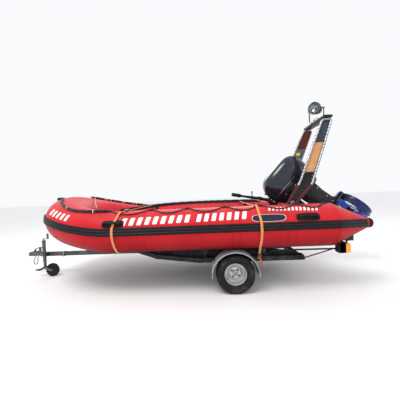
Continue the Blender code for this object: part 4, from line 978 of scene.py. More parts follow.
def sternFittings():
    # ribbed rubber caps over the cone ends, and inflation valves on the inner shoulders
    cone = (
        (0, 1.5503), (0.056, 1.5503), (0.058, 1.556), (0.0575, 1.564), (0.0545, 1.568), (0.0545, 1.572), (0.056, 1.576),
        (0.054, 1.588), (0.047, 1.597), (0.034, 1.6028), (0, 1.603),
    )
    cap = lathe("cap", cone, at(0, -hull["halfSpread"], hull["height"]), "X", 40)
    bothSides(cap, "sternCap", "black_rubber", None, "stern_cap_{}", 50)
    valve = (
        (0, -0.003), (0.032, -0.003), (0.033, 0.002), (0.024, 0.005), (0.022, 0.011), (0.008, 0.013), (0.006, 0.009),
        (0, 0.009),
    )
    valves = []
    for x in (-1.2, 0.35):
        seat, over = onTube(x, 128.0, 0.0), onTube(x, 128.0, 1.0)
        turn = Matrix.Translation(seat) @ (over - seat).to_track_quat("Z", "Y").to_matrix().to_4x4()
        valves.append(lathe("valve", valve, (0, 0, 0), "Z", 28, turn))
    bothSides(welded("valves", valves), "airValves", "black_rubber", None, None, 40)


def innerFloor():
    # rubber strips along the edges of the floor boards
    strips = [block("strip", at(-1.55, y - 0.012, 0.5795), at(0.9, y + 0.012, 0.586)) for y in (-0.46, 0.46)]
    finishPiece(welded("floorStrips", strips), "floor_board", "hoseBlack")


for make in (
    buoyancyTube, seamTapes, rubbingStrake, plainMarkings, blankBadge, grabHandles, lifelines, shoulderPad, bowHandle,
    painterRope, sternFittings, innerFloor,
):
    make()
print("hull done")


# Straps that hold the boat down

straps = {"width": 0.028, "depth": 0.003, "strakeDepth": 0.02, "overTheBoat": 1.4}


def strapSkin(name, xTop, xLow, crossing, shoulder, under, hook, node):
    # webbing from the middle of the boat down to the hook, then mirrored; rows of angle and how proud
    overStrake, overLine = straps["strakeDepth"] + 0.0045, 2 * lines["radius"] + 0.0075
    lay = hull["strakeAngle"]
    wrap = [(90, 0.0021), (crossing + 13, 0.0045)] + [(crossing + turn, overLine) for turn in (7, 0, -7)]
    wrap += [*shoulder, *((lay + turn, overStrake) for turn in (10, 0, -10)), *under]
    rows = []
    for spot in smoothPath([(angle, proud * 1000, 0) for angle, proud in wrap], 5):
        x = xTop + (xLow - xTop) * min((90 - spot.x) / 75, 1.0)
        plan = tubeCentre(x)[1]
        turn = math.radians(spot.x)
        normal = plan * math.cos(turn) + upward * math.sin(turn)
        rows.append((onTube(x, spot.x, spot.y / 1000), normal, Vector((-plan.y, plan.x, 0))))
    rows.append((at(*hook), rows[-1][1], Vector((1, 0, 0))))
    rings, lengths = [], [0.0]
    # columns: across, thickness
    wide, thick = straps["width"] / 2, straps["depth"] / 2
    section = ((-1, -0.5), (-0.33, -1), (0.33, -1), (1, -0.5), (1, 0.5), (0.33, 1), (-0.33, 1), (-1, 0.5))
    for i, (point, normal, along) in enumerate(rows):
        rings.append([point + along * (a * wide) + normal * (b * thick) for a, b in section])
        if i:
            lengths.append(lengths[-1] + (point - rows[i - 1][0]).length)
    every = rings[::-1] + [[farPoint(p) for p in ring] for ring in rings]
    total = lengths[-1]
    run = [total - length for length in reversed(lengths)]
    run += [total + straps["overTheBoat"] + length for length in lengths]
    layers = {"along": lambda i, k: run[i], "across": lambda i, k: section[k % 8][0] * 0.5 + 0.5}
    finishPiece(skin(name, every, layers=layers), "orange_webbing", None, node, 50)
    return rows


def ratchet(name, seat, normal, ahead):
    # frame cheeks, drum, handle and spring bar; ahead is the way the webbing runs
    side = ahead.cross(normal).normalized()
    turn = Matrix.Translation(seat) @ Matrix((ahead, side, normal)).transposed().to_4x4()
    parts = [
        block("cheek", (-0.034, -0.0197, 0.002), (0.036, -0.0173, 0.017), 0.0008, 1),
        block("cheek", (-0.034, 0.0173, 0.002), (0.036, 0.0197, 0.017), 0.0008, 1),
        drum("spool", 0.0065, -0.0225, 0.0225, (0.004, 0, 0.0125), "Y", 0.0006, 20),
        drum("pin", 0.0036, -0.0215, 0.0215, (-0.029, 0, 0.008), "Y", 0.0005, 16),
        block("handle", (0.006, -0.0155, 0.0165), (0.046, 0.0155, 0.0195), 0.0012),
        block("thumb", (0.038, -0.012, 0.0145), (0.047, 0.012, 0.0225), 0.0015),
        block("plate", (-0.03, -0.0165, 0.0012), (0.034, 0.0165, 0.0028), 0.0005, 1),
    ]
    finishPiece(welded(name, parts, turn), "orange_webbing", "ratchetSteel", None, 30)


def tieDowns():
    # rows of angle and how proud, above and below the strake
    overGrip = ((50, 0.012), (41, 0.0135), (35, 0.018), (28, 0.019), (22, 0.019))
    onSkin = ((52, 0.006), (38, 0.007), (27, 0.015))
    toRail = ((-20, 0.014), (-38, 0.008), (-54, 0.008))
    toDrawbar = (*toRail, (-70, 0.007), (-84, 0.006))
    fore = strapSkin("strapFore", -1.284, -1.36, 62, overGrip, toDrawbar, (-1.42, -0.0253, 0.32), "strap_fore")
    aft = strapSkin("strapAft", 0.262, 0.285, 72, onSkin, toRail, (0.31, -0.629, 0.33), "strap_aft")
    ratchet("ratchetFore", onTube(-1.27, 88.0, 0.004), fore[1][1], Vector((0, 1, 0)))
    low, high, port = aft[-1][0], aft[-2][0], Vector((0, -1, 0))
    down = (low - high).normalized()
    out = (port - down * down.dot(port)).normalized()
    ratchet("ratchetAft", high.lerp(low, 0.62) + out * 0.001, out, down)
    # loose end of the aft webbing, hanging beside the rail
    start = high.lerp(low, 0.72) + Vector((0.004, -0.02, 0))
    falls = ((0, 0, 0), (0.004, -0.012, -0.03), (0.016, -0.010, -0.075), (0.030, -0.006, -0.125))
    lean, face = Vector((0.93, 0.25, 0.1)).normalized(), Vector((0.2, -1, 0)).normalized()
    rings = []
    for point in smoothPath([start + Vector(fall) for fall in falls]):
        rings.append([point + lean * (a * 0.012) + face * (b * 0.001) for a, b in ((-1, -1), (1, -1), (1, 1), (-1, 1))])
    layers = {"along": lambda i, k: i * 0.011, "across": lambda i, k: float(k % 4 in (1, 2))}
    finishPiece(skin("strapTail", rings, layers=layers), "orange_webbing", "tailPink")


tieDowns()
print("straps done")


# A CAD solid kept for its shape: merged, its edges eased and shaded, with a finish of its own

easedAngle = 38.0


def measure(piece, layer, value):
    # a layer of numbers worked out from the place of each corner
    mesh = piece.data
    made = mesh.attributes.new(layer, "FLOAT", "CORNER")
    made.data.foreach_set("value", [value(mesh.vertices[loop.vertex_index].co) for loop in mesh.loops])


def fromHub(hub):
    return lambda co: math.hypot(co.x - hub.x, co.z - hub.z)


def eased(name, slot, width=0.0012, smooth=35.0, body=hullBody, rounds=2, hub=None):
    source = nodes[name]
    mesh = source.data.copy()
    mesh.transform(source.matrix_world)
    piece = linked(name + "_eased", mesh)
    openUp(piece)
    closeUp()
    easing = piece.modifiers.new("easing", "BEVEL")
    easing.width = width
    easing.segments = rounds
    easing.limit_method = "ANGLE"
    easing.angle_limit = math.radians(easedAngle)
    bpy.ops.object.modifier_apply(modifier=easing.name)
    if hub:
        measure(piece, "radius", fromHub(hub))
    finishPiece(piece, slot, None, name, smooth, body)


# Rear rack

rack = {
    "halfSpread": 0.305, "tube": 0.016, "lean": 0.09, "top": 2.1043, "lampX": 1.345, "lampZ": 2.322, "lampYaw": 45.0,
    "forward": ((0.71, 0.5805), (0.71, 0.90), (0.941, 1.271), (1.119, 1.703), (1.282, 2.088)),
    "aft": ((1.404, 2.088), (1.273, 1.717), (1.088, 1.229), (0.80, 0.91), (0.80, 0.5805)),
}
rack["face"] = rack["halfSpread"] - rack["tube"] * math.cos(math.radians(18)) - 0.0003


def leaned(point):
    # the frames lean in towards each other at the top
    x, y, z = point
    share = max(-1.0, min(y / (rack["face"] - 0.09), 1.0))
    return at(x, y + rack["lean"] * (rack["top"] - z) * share, z)


def legAt(leg, z):
    for (x0, z0), (x1, z1) in zip(leg, leg[1:]):
        if min(z0, z1) <= z <= max(z0, z1) and z0 != z1:
            return x0 + (x1 - x0) * (z - z0) / (z1 - z0)
    return leg[0][0]


def onLeg(leg, z):
    return leaned((legAt(leg, z), -rack["halfSpread"], z))


def pairOf(name, radius, reach, depth, spot, bevel, steps=6):
    # the same short cylinder on both sides of a place
    ends = ((-reach - depth, -reach), (reach, reach + depth))
    return [drum(name, radius, low, high, spot, "Y", bevel, steps) for low, high in ends]


def rackTubes():
    path = rounded([(x, -rack["halfSpread"], z) for x, z in rack["forward"] + rack["aft"]], 0.045, 7)
    parts = [hose("legs", [leaned(p) for p in path], rack["tube"] - 0.0015, 20)]
    for x in (0.71, 0.80):
        parts.append(block("foot", leaned((x - 0.045, -0.345, 0.5803)), leaned((x + 0.045, -0.265, 0.588)), 0.003))
        for u, v in ((-0.03, -0.026), (0.03, 0.026)):
            spot = at(x + u, -rack["halfSpread"] + v - rack["lean"] * 1.52, 0)
            parts.append(drum("bolt", 0.0065, 0.587, 0.593, spot, "Z", 0.001, 6))
    bothSides(welded("rackLegs", parts), "rackLegs", "rack_tube", None, "rack_frame_{}", 50)
    swell = [0.0178 + 0.0012 * math.cos(k * 1.7) for k in range(30)]
    swell[0] = swell[-1] = 0.0166
    legs = (rack["forward"], rack["aft"])
    sleeves = [hose("sleeve", [onLeg(leg, 0.64 + 0.02 * k) for k in range(30)], swell, 18) for leg in legs]
    bothSides(welded("legSleeves", sleeves), "legSleeves", "rack_black", "coverBrown", None, 60)


def rackCovers():
    # columns: side, low, high, finish, whether it stands for the panel
    # the dark maroon of the starboard top cover is painted shade: an orange cover seen in shade from inside the boat
    cloths = (
        ("port", 1.779, 2.075, "coverSlate", False), ("port", 1.393, 1.779, None, True),
        ("port", 1.262, 1.393, "coverBlack", False), ("starboard", 1.80, 2.075, "coverBrown", False),
        ("starboard", 1.47, 1.80, "coverGrey", True), ("starboard", 1.395, 1.47, None, False),
        ("starboard", 1.262, 1.395, "coverBlack", False),
    )
    for number, (side, low, high, finish, panel) in enumerate(cloths):
        rings = []
        for i in range(13):
            t = i / 12
            z = low + (high - low) * t
            fore, aft = legAt(rack["forward"], z) + 0.004, legAt(rack["aft"], z) - 0.004
            hem = 1.0 if 0.06 < t < 0.94 else 0.25
            outer, inner = [], []
            for k in range(13):
                u = k / 12
                fold = max(math.sin(math.pi * u), 0.0) ** 0.35 * (0.9 + 0.1 * math.sin(7 * u + 11 * t))
                puff = 0.0015 + 0.0042 * hem * fold
                x = fore + (aft - fore) * u
                outer.append(leaned((x, -(rack["face"] + puff), z)))
                inner.append(leaned((x, -(rack["face"] - 0.012 - puff), z)))
            rings.append(outer + inner[::-1])
        cloth = skin("rackCover%d" % number, rings)
        if side == "starboard":
            near, cloth = cloth, farSide(cloth, "rackCover%dFar" % number)
            bpy.data.objects.remove(near)
        finishPiece(cloth, "rack_fabric", finish, "rack_panel_" + side if panel else None, 60)
    # lacing round both legs, and the eyelets it runs through
    turns, low, rise = 17, 1.275, 0.745
    ring = ((0.0035, -0.001), (0.0062, -0.0008), (0.0062, 0.0012), (0.0035, 0.0014))
    laces, eyes = [], []
    for leg, inward in ((rack["forward"], 0.021), (rack["aft"], -0.021)):
        coil = []
        for k in range(turns * 10 + 1):
            a = 2 * math.pi * k / 10
            around = Vector((math.cos(a) * 0.0168, math.sin(a) * 0.0168, 0))
            coil.append(onLeg(leg, low + rise * k / (turns * 10)) + around)
        laces.append(hose("lace", coil, 0.0022, 6))
        for k in range(turns):
            z = low + rise * (k + 0.5) / turns
            eyes.append(lathe("eye", ring, leaned((legAt(leg, z) + inward, -(rack["face"] + 0.0035), z)), "Y", 12))
    bothSides(welded("coverLaces", laces), "coverLaces", "rack_black", "hoseBlack", None, 60)
    bothSides(welded("coverEyes", eyes), "coverEyes", "rack_black", "trimSilver", None, 50)
    corner = leaned((1.15, rack["face"] - 0.022, 1.70))
    finishPiece(block("tag", corner, corner + Vector((0.055, 0.003, 0.045)), 0.001), "rack_fabric", "brassYellow")


def lampTurn(z):
    # from a lamp drawn at the origin to its place, turned to port
    return Matrix.Translation(at(rack["lampX"], 0, z)) @ Matrix.Rotation(math.radians(rack["lampYaw"]), 4, "Z")


def rackTop():
    top, z, arm = rack["top"], rack["lampZ"], 0.1005
    base = top + 0.033
    parts = [block("beam", at(1.290, -0.335, top), at(1.405, 0.335, top + 0.034), 0.006, 3)]
    for y in (-0.3, -0.27, 0.27, 0.3):
        parts.append(block("rib", at(1.300, y - 0.003, top + 0.0335), at(1.395, y + 0.003, top + 0.0365), 0.001, 1))
    finishPiece(welded("topBeam", parts), "rack_black", None, "rack_top_beam")
    tips, foot = z + 0.016, base + 0.003
    yoke = rounded([(0, -arm, tips), (0, -arm, foot), (0, arm, foot), (0, arm, tips)], 0.03, 6)
    strip = []
    for i, p in enumerate(yoke):
        ahead = (yoke[min(i + 1, len(yoke) - 1)] - yoke[max(i - 1, 0)]).normalized()
        up = Vector((1, 0, 0)).cross(ahead)
        corners = ((-1, -1), (1, -1), (1, 1), (-1, 1))
        strip.append([p + Vector((a * 0.015, 0, 0)) + up * (b * 0.0024) for a, b in corners])
    finishPiece(welded("lampYoke", [skin("yoke", strip)], lampTurn(0)), "rack_black", None, None, 30)
    # columns: radius, height over the beam
    foot = (
        (0, 0.004), (0.030, 0.004), (0.031, 0.010), (0.024, 0.016), (0.017, 0.022), (0.017, 0.050), (0.023, 0.055),
        (0.023, 0.064), (0.012, 0.070), (0, 0.070),
    )
    parts = [lathe("foot", [(r, base + up) for r, up in foot], (0, 0, 0), "Z", 32)]
    parts.append(drum("clamp", 0.013, -0.052, 0.052, (0, 0, base + 0.036), "Y", 0.002, 24))
    parts += pairOf("knob", 0.019, 0.102, 0.022, (0, 0, z), 0.003, 24)
    parts += [drum("boss", 0.011, 0.0, 0.006, (0, y, base + 0.004), "Z", 0.001, 6) for y in (-0.06, 0.06)]
    finishPiece(welded("lampFoot", parts, lampTurn(0)), "rack_black", "chrome", None, 30)
    dome = (
        (0, 0), (0.0205, 0), (0.0205, 0.012), (0.0185, 0.014), (0.0185, 0.034), (0.017, 0.046), (0.012, 0.056),
        (0.005, 0.0605), (0, 0.061),
    )
    lamp = lathe("dome", [(r, base + 0.0013 + up) for r, up in dome], at(1.38, -0.20, 0), "Z", 32)
    finishPiece(lamp, "lamp_white", None, "nav_light", 50)


def searchLamp():
    def place(name, parts, slot, finish=None, node=None, smooth=35.0):
        finishPiece(welded(name, parts, lampTurn(rack["lampZ"])), slot, finish, node, smooth, "searchlight_head")

    shell = [
        (0, -0.052), (0.074, -0.052), (0.079, -0.088), (0.084, -0.088), (0.086, -0.084), (0.086, -0.052),
        (0.083, -0.049), (0.080, -0.046),
    ]
    for k in range(7):
        # cooling fins, smaller towards the back
        low, outer = -0.036 + 0.0145 * k, 0.0795 - 0.0012 * k - 0.0004 * k * k
        inner = outer - 0.006
        shell += [(inner, low - 0.006), (outer, low - 0.0045), (outer, low + 0.0015), (inner, low + 0.003)]
    shell += [(0.055, 0.072), (0.046, 0.083), (0.030, 0.089), (0, 0.09)]
    bow = rounded([(-0.03, 0, 0.078), (-0.03, 0, 0.083), (0.03, 0, 0.083), (0.03, 0, 0.074)], 0.004, 3)
    place("lampHousing", [
        lathe("shell", shell, (0, 0, 0), "X"), drum("pin", 0.009, -0.0975, 0.0975, (0, 0, 0), "Y", 0.001, 18),
        drum("plug", 0.012, 0.02, 0.045, (0.05, 0, -0.062), "Z", 0.002, 16), hose("grip", bow, 0.003, 8),
    ], "lamp_black", None, "searchlight")
    bowl = (
        (0.004, -0.052), (0.03, -0.056), (0.055, -0.066), (0.070, -0.080), (0.0775, -0.0895), (0.084, -0.0935),
        (0.0855, -0.091), (0.0855, -0.088), (0.078, -0.088), (0.072, -0.0785), (0.056, -0.062), (0.03, -0.0525),
    )
    # the reflector's dark finish is painted shade for the dark lamp face
    place("lampReflector", [lathe("bowl", bowl, (0, 0, 0), "X")], "lamp_black", "reflector", None, 60)
    pane = ((0, -0.0855), (0.0755, -0.0855), (0.0755, -0.083), (0, -0.083))
    place("lampPane", [lathe("pane", pane, (0, 0, 0), "X", 40)], "lamp_black", "glass")
    bulb = ((0, -0.073), (0.006, -0.072), (0.009, -0.066), (0.008, -0.058), (0.008, -0.050), (0, -0.050))
    place("lampBulb", [lathe("bulb", bulb, (0, 0, 0), "X", 20)], "lamp_white")


def beacon():
    face = rack["face"] - 0.0123
    spot = leaned((1.15, face, 1.56)) - Vector((0, face, 0))
    # columns: radius, how far in front of the cover
    lens = [(0, 0.006), (0.040, 0.006)]
    for k in range(6):
        r, out = 0.040 - 0.0034 * k, 0.0085 + 0.0032 * k
        lens += [(r, out), (r - 0.0014, out + 0.001)]
    lens += [(0.014, 0.0285), (0, 0.030)]
    ring = ((0, 0), (0.048, 0), (0.048, 0.005), (0.045, 0.008), (0.0405, 0.008), (0.0405, 0.003), (0, 0.003))
    for name, profile, slot, node, smooth in (
        ("beaconLens", lens, "lamp_blue", "blue_lamp", 25), ("beaconBase", ring, "lamp_white", None, 35),
    ):
        finishPiece(lathe(name, [(r, face - out) for r, out in profile], spot, "Y", 36), slot, None, node, smooth)


for make in (rackTubes, rackCovers, rackTop, searchLamp, beacon):
    make()
eased("rack_brace", "rack_tube")
print("rack done")


# Outboard, drawn upright with the tilt pin at the origin and then tilted up

motor = {
    "pinX": 0.963, "pinZ": 0.946, "tilt": 48.0, "front": -0.135, "back": 0.56, "half": 0.185, "seam": 0.25,
    "square": 0.72, "screwX": 0.488, "screwZ": -0.688, "tillerX": -0.175, "tillerZ": 0.315, "tillerLean": 59.0,
}
tilted = Matrix.Translation(at(motor["pinX"], 0, motor["pinZ"])) @ Matrix.Rotation(math.radians(-motor["tilt"]), 4, "Y")


def motorPiece(name, parts, slot="engine_black", finish=None, node=None, smooth=35.0):
    finishPiece(welded(name, parts, tilted), slot, finish, node, smooth, "outboard")


def cowlRing(z, front, back, half):
    ring = []
    for k in range(72):
        c, s = squared(2 * math.pi * (k + 0.5) / 72, motor["square"])
        ring.append(Vector(((front + back) / 2 + (back - front) / 2 * c, half * s, z)))
    return ring


def cowlAt(up, out=0.0):
    # front, back and half width of the cowl just over its seam
    t = (up - 0.0003) / (0.06 - 0.0003)
    return motor["front"] - 0.008 * t - out, motor["back"] + 0.004 * t + out, motor["half"] + 0.004 * t + out


def cowlShell():
    # columns: height over the seam, then what front, back and half width change by
    levels = (
        (0.0003, 0.004, 0, 0), (0.006, -0.001, 0.001, 0.001), (0.03, -0.004, 0.002, 0.002),
        (0.06, -0.008, 0.004, 0.004), (0.11, -0.004, 0.003, 0.0045), (0.16, 0.006, -0.004, 0.002),
        (0.20, 0.021, -0.014, -0.004), (0.235, 0.045, -0.03, -0.014), (0.262, 0.073, -0.055, -0.027),
        (0.285, 0.105, -0.085, -0.045), (0.300, 0.142, -0.122, -0.066), (0.308, 0.185, -0.165, -0.092),
        (0.3105, 0.25, -0.23, -0.13), (0.311, 0.32, -0.30, -0.165),
    )
    seam = motor["seam"]
    rows = smoothPath([(a * 10, b, c) for a, b, c, d in levels], 3)
    widths = smoothPath([(a * 10, d, 0) for a, b, c, d in levels], 3)
    rings = []
    for row, wide in zip(rows, widths):
        rings.append(cowlRing(seam + row.x / 10, motor["front"] + row.y, motor["back"] + row.z, motor["half"] + wide.y))
    motorPiece("cowlShell", [skin("shell", rings)], "cowl_navy", None, "cowl", 60)
    # silver line low on each side and a dark rubber lip at the joint
    bars = []
    for side in (-1, 1):
        strip = []
        for k in range(25):
            t = k / 24
            x, up, tall = -0.065 + 0.36 * t, 0.036 + 0.006 * t, 0.0035 * (1 - 0.6 * t)
            front, back, half = cowlAt(up)
            c = abs((2 * x - front - back) / (back - front)) ** (1 / motor["square"])
            y = half * max(1 - c * c, 0.0) ** (motor["square"] / 2)
            corners = ((-1, -0.002), (1, -0.002), (1, 0.0022), (-1, 0.0022))
            strip.append([Vector((x, side * (y + b), seam + up + a * tall)) for a, b in corners])
        bars.append(skin("line", strip))
    motorPiece("cowlLine", bars, "cowl_navy", "trimSilver")
    front, back, half = cowlAt(0.002, 0.0025)
    rims = ((-0.004, 0.003), (-0.002, 0), (0.002, 0), (0.004, 0.003))
    lip = [cowlRing(seam + up, front + inset, back - inset, half - inset) for up, inset in rims]
    motorPiece("cowlLip", [skin("lip", lip)], "engine_black", "hoseBlack")
    # air slats at the back of the top, the latch, and the pull handle at the front
    parts = [block("latch", (0.5575, -0.03, seam + 0.01), (0.5665, 0.03, seam + 0.05), 0.003)]
    for k in range(5):
        x, z = 0.30 + 0.022 * k, seam + 0.296 - 0.006 * k
        parts.append(block("slat", (x, -0.055, z), (x + 0.009, 0.055, z + 0.0165)))
    bend = [(-0.128, -0.035, 0.405), (-0.150, -0.035, 0.405), (-0.150, 0.035, 0.405), (-0.128, 0.035, 0.405)]
    pull = rounded(bend, 0.01, 4)
    motorPiece("cowlDetails", [*parts, hose("pull", pull, 0.006)], "cowl_navy", "hoseBlack")


def engineDetails():
    parts = []
    for x, z in ((0.02, 0.215), (0.20, 0.20), (0.38, 0.205)):
        parts += pairOf("screw", 0.007, 0.1765, 0.004, (x, 0, z), 0.0008)
    for z in (-0.10, -0.28, -0.395):
        parts += pairOf("bolt", 0.0085, 0.047, 0.006, (0.40, 0, z), 0.0012)
    motorPiece("legBolts", parts, finish="boltZinc")
    motorPiece("anode", [block("anode", (0.47, -0.014, -0.465), (0.53, 0.014, -0.4364), 0.004)], finish="boltZinc")
    hoses = []
    for y, low in ((-0.05, 0.06), (0.03, 0.05)):
        # columns: x, share of y, z
        bend = ((-0.09, 1, 0.21), (-0.17, 1.1, 0.17), (-0.20, 1.6, low), (-0.17, 2.2, -0.10), (-0.10, 2.4, -0.16))
        hoses.append(hose("hose", smoothPath([(x, y * share, z) for x, share, z in bend], 6), 0.0085))
    motorPiece("fuelHoses", hoses, finish="hoseBlack", smooth=60)


def propGuard():
    middle, front, back, ring, steps = motor["screwZ"], motor["screwX"], 0.594, 0.232, 96
    low, over, under = middle - ring, -0.43 + 0.0063, middle + ring - 0.004

    def hoop(name, *profile):
        return lathe(name, profile, (0, 0, middle), "X", steps)

    parts = [hoop(
        "hoop", (ring - 0.012, front), (ring - 0.010, front - 0.003), (ring - 0.002, front - 0.003), (ring, front),
        (ring, back - 0.003), (ring - 0.003, back), (ring - 0.009, back), (ring - 0.012, back - 0.003),
    )]
    for x in (front + 0.01, back - 0.012):
        inner, outer = ring - 0.006, ring + 0.0005
        parts.append(hoop("lip", (inner, x - 0.004), (outer, x - 0.004), (outer, x + 0.004), (inner, x + 0.004)))
    parts += [
        plate("top", (
            (0.4853, over), (0.5755, over), (0.5755, under), (0.594, under), (0.594, over + 0.014),
            (0.56, over + 0.030), (0.4853, over + 0.024),
        ), 0.02),
        plate("lug", (
            (0.545, low + 0.004), (0.592, low + 0.004), (0.594, -0.955), (0.57, -0.965), (0.552, -0.94),
        ), 0.008),
        plate("foot", (
            (0.3968, -0.80), (0.50, low + 0.008), (0.53, low + 0.008), (0.53, low - 0.001), (0.47, low - 0.005),
            (0.3762, -0.862), (0.3957, -0.8202),
        ), 0.008),
    ]
    motorPiece("guardHoop", parts, "guard_blue", None, "propeller_guard", 40)
    inner, outer, first, last = ring - 0.0135, ring - 0.0122, front + 0.002, back - 0.002
    liner = hoop("liner", (inner, first), (outer, first), (outer, last), (inner, last))
    motorPiece("guardLiner", [liner], "guard_blue", "guardBright", None, 60)
    # black blocks on the hoop stand for its openings: painted shade in place of real holes
    windows = []
    for k in range(5):
        spin = Matrix.Translation((0, 0, middle)) @ Matrix.Rotation(math.radians(-50 + 25 * k), 4, "X")
        corners = (front + 0.028, -0.030, ring - 0.002), (back - 0.028, 0.030, ring + 0.0008)
        windows.append(block("window", *corners, 0.0005, 1, spin))
    motorPiece("guardWindows", windows, "guard_blue", "hoseBlack")


def screwBlades():
    hub = (
        (0, 0.0004), (0.034, 0.0004), (0.038, 0.012), (0.040, 0.03), (0.036, 0.07), (0.030, 0.09), (0.020, 0.097),
        (0, 0.10),
    )
    parts = [lathe("hub", hub, (0, 0, 0), "X", 40), drum("nut", 0.013, 0.098, 0.1035, (0, 0, 0), "X", 0.001, 6)]
    # columns: radius, chord, pitch angle, thickness
    stations = (
        (0.025, 0.07, 62, 0.010), (0.045, 0.082, 57, 0.009), (0.075, 0.095, 48, 0.007), (0.10, 0.100, 42.5, 0.006),
        (0.12, 0.10, 38, 0.005), (0.138, 0.085, 35, 0.004), (0.150, 0.06, 33, 0.003), (0.1545, 0.03, 32, 0.0022),
    )
    section = [(math.cos(2 * math.pi * k / 16), 0.98 * math.sin(2 * math.pi * k / 16)) for k in range(16)]
    rings = []
    for radius, chord, pitch, thick in stations:
        lean = Vector((math.cos(math.radians(pitch)), math.sin(math.radians(pitch)), 0))
        flat = Vector((lean.y, -lean.x, 0))
        rings.append([Vector((0.052, 0, radius)) + lean * (chord / 2 * a) + flat * (thick / 2 * b) for a, b in section])
    for k in range(3):
        parts.append(skin("blade", rings))
        parts[-1].data.transform(Matrix.Rotation(2 * math.pi * k / 3, 4, "X"))
    turn = tilted @ Matrix.Translation((motor["screwX"], 0, motor["screwZ"]))
    finishPiece(welded("screwBlades", parts, turn), "propeller_alloy", None, "propeller", 50, "screw")


def tiller():
    def place(name, parts, slot, node=None, smooth=35.0):
        lean = Matrix.Rotation(math.radians(motor["tillerLean"]), 4, "Y")
        turn = tilted @ Matrix.Translation((motor["tillerX"], 0, motor["tillerZ"])) @ lean
        finishPiece(welded(name, parts, turn), slot, None, node, smooth, "tiller")

    # columns: along, half width, half height
    stations = (
        (0.028, 0.020, 0.020), (0.0, 0.0275, 0.0235), (-0.06, 0.0275, 0.0235), (-0.12, 0.0255, 0.022),
        (-0.20, 0.026, 0.0225), (-0.28, 0.0245, 0.021), (-0.325, 0.021, 0.019), (-0.34, 0.0175, 0.0165),
        (-0.42, 0.0165, 0.0165),
    )
    section = [squared(2 * math.pi * (k + 0.5) / 28, 0.55) for k in range(28)]
    place("tillerArm", [
        skin("arm", [[Vector((x, wide * c, tall * s)) for c, s in section] for x, wide, tall in stations]),
        drum("eye", 0.03, -0.0336, 0.0336, (0, 0, 0), "Y", 0.003, 28),
        block("switchBox", (-0.17, -0.017, 0.018), (-0.10, 0.017, 0.030), 0.004, 3),
        drum("collar", 0.0195, -0.4195, -0.402, (0, 0, 0), "X", 0.002, 24),
    ], "engine_black", "tiller_arm", 45)
    grip = [(0, -0.4205), (0.024, -0.4205), (0.0265, -0.424), (0.0275, -0.43)]
    for k in range(10):
        ridge = -0.438 - 0.0105 * k
        grip += [(0.0278, ridge), (0.0278, ridge - 0.005), (0.0258, ridge - 0.0065), (0.0258, ridge - 0.009)]
    grip += [(0.0255, -0.545), (0.022, -0.5525), (0.014, -0.555), (0, -0.555)]
    place("tillerGrip", [lathe("grip", grip, (0, 0, 0), "X", 32)], "grip_rubber", "tiller_grip")
    lever = rounded([(-0.245, -0.008, 0.018), (-0.262, -0.010, 0.055), (-0.262, -0.012, 0.075)], 0.01, 4)
    knob = drum("knob", 0.0105, 0.068, 0.092, (-0.262, -0.012, 0), "Z", 0.003, 16)
    place("shiftLever", [hose("lever", lever, 0.0068), knob], "grip_rubber")


for make in (cowlShell, engineDetails, propGuard, screwBlades, tiller):
    make()
eased("lower_cowl", "engine_black", 0.002, 45, "outboard")
eased("leg", "engine_black", 0.0015, 40, "outboard")
eased("steering_post", "engine_black", body="outboard")
eased("swivel_bracket", "engine_black", body="tilt_swivel")
eased("clamp_bracket", "engine_black", 0.002)
print("outboard done")


# Trailer wheels

wheel = {"radius": 0.2245, "y": 0.802, "half": 0.0975, "rim": 0.127, "bolts": 4, "boltCircle": 0.051, "blocks": 58}
hubCentre = at(0, -wheel["y"], wheel["radius"])
jockeyY = -0.062


def treadBlocks():
    # four rows of slanted blocks; columns: middle across, half across, slant, shift
    rows = ((-0.71, 0.17, 0.25, 0.0), (-0.30, 0.155, -0.35, 0.5), (0.30, 0.155, 0.35, 0.0), (0.71, 0.17, -0.25, 0.5))
    half, count = wheel["half"], wheel["blocks"]
    points, faces = [], []
    for middle, wide, slant, shift in rows:
        low, high, outer = (middle - wide) * half, (middle + wide) * half, abs(middle) > 0.5
        corners = []
        for z, ease in ((0.2120, 0.0), (wheel["radius"] - (0.0030 if outer else 0.0002), 0.0012)):
            left, right, near, far = -0.0082 + ease, 0.0082 - ease, low + ease, high - ease
            for x, y in ((left, near), (right, near), (right, far), (left, far)):
                drop = 0.0042 if outer and ease and abs(y) > 0.75 * half else 0.0
                corners.append(Vector((x + slant * (y - middle * half), y, z - drop)))
        for k in range(count):
            turn = Matrix.Rotation(2 * math.pi * (k + shift) / count, 4, "Y")
            b = len(points)
            points += [turn @ c + hubCentre for c in corners]
            faces += [(b, b + 3, b + 2, b + 1), (b + 4, b + 5, b + 6, b + 7)]
            faces += [(b + k, b + (k + 1) % 4, b + 4 + (k + 1) % 4, b + 4 + k) for k in range(4)]
    mesh = bpy.data.meshes.new("tread")
    mesh.from_pydata(points, [], faces)
    tread = linked("tread", mesh)
    openUp(tread)
    closeUp(merge=False)
    return tread


def tyre():
    # columns: radius, share of the half width
    half = wheel["half"]
    side = (
        (wheel["rim"] + 0.0005, 0.62), (0.134, 0.665), (0.142, 0.70), (0.146, 0.735), (0.150, 0.80), (0.158, 0.90),
        (0.166, 0.96), (0.175, 0.995), (0.178, 1.0), (0.181, 0.985), (0.188, 0.985), (0.196, 0.965), (0.203, 0.925),
        (0.209, 0.875), (0.2135, 0.82), (0.2160, 0.76), (0.2172, 0.70), (0.2172, 0.52), (0.2150, 0.50), (0.2150, 0.44),
        (0.2174, 0.42), (0.2176, 0.12), (0.2152, 0.10), (0.2152, 0.0),
    )
    profile = [(r, -t * half) for r, t in side] + [(r, t * half) for r, t in side[-2::-1]]
    whole = welded("tyreTread", [lathe("carcass", profile, hubCentre, "Y", 72), treadBlocks()])
    measure(whole, "radius", fromHub(hubCentre))
    bothSides(whole, "tyreTread", "tyre_rubber", None, "tyre_{}", 30, "wheel_{}")


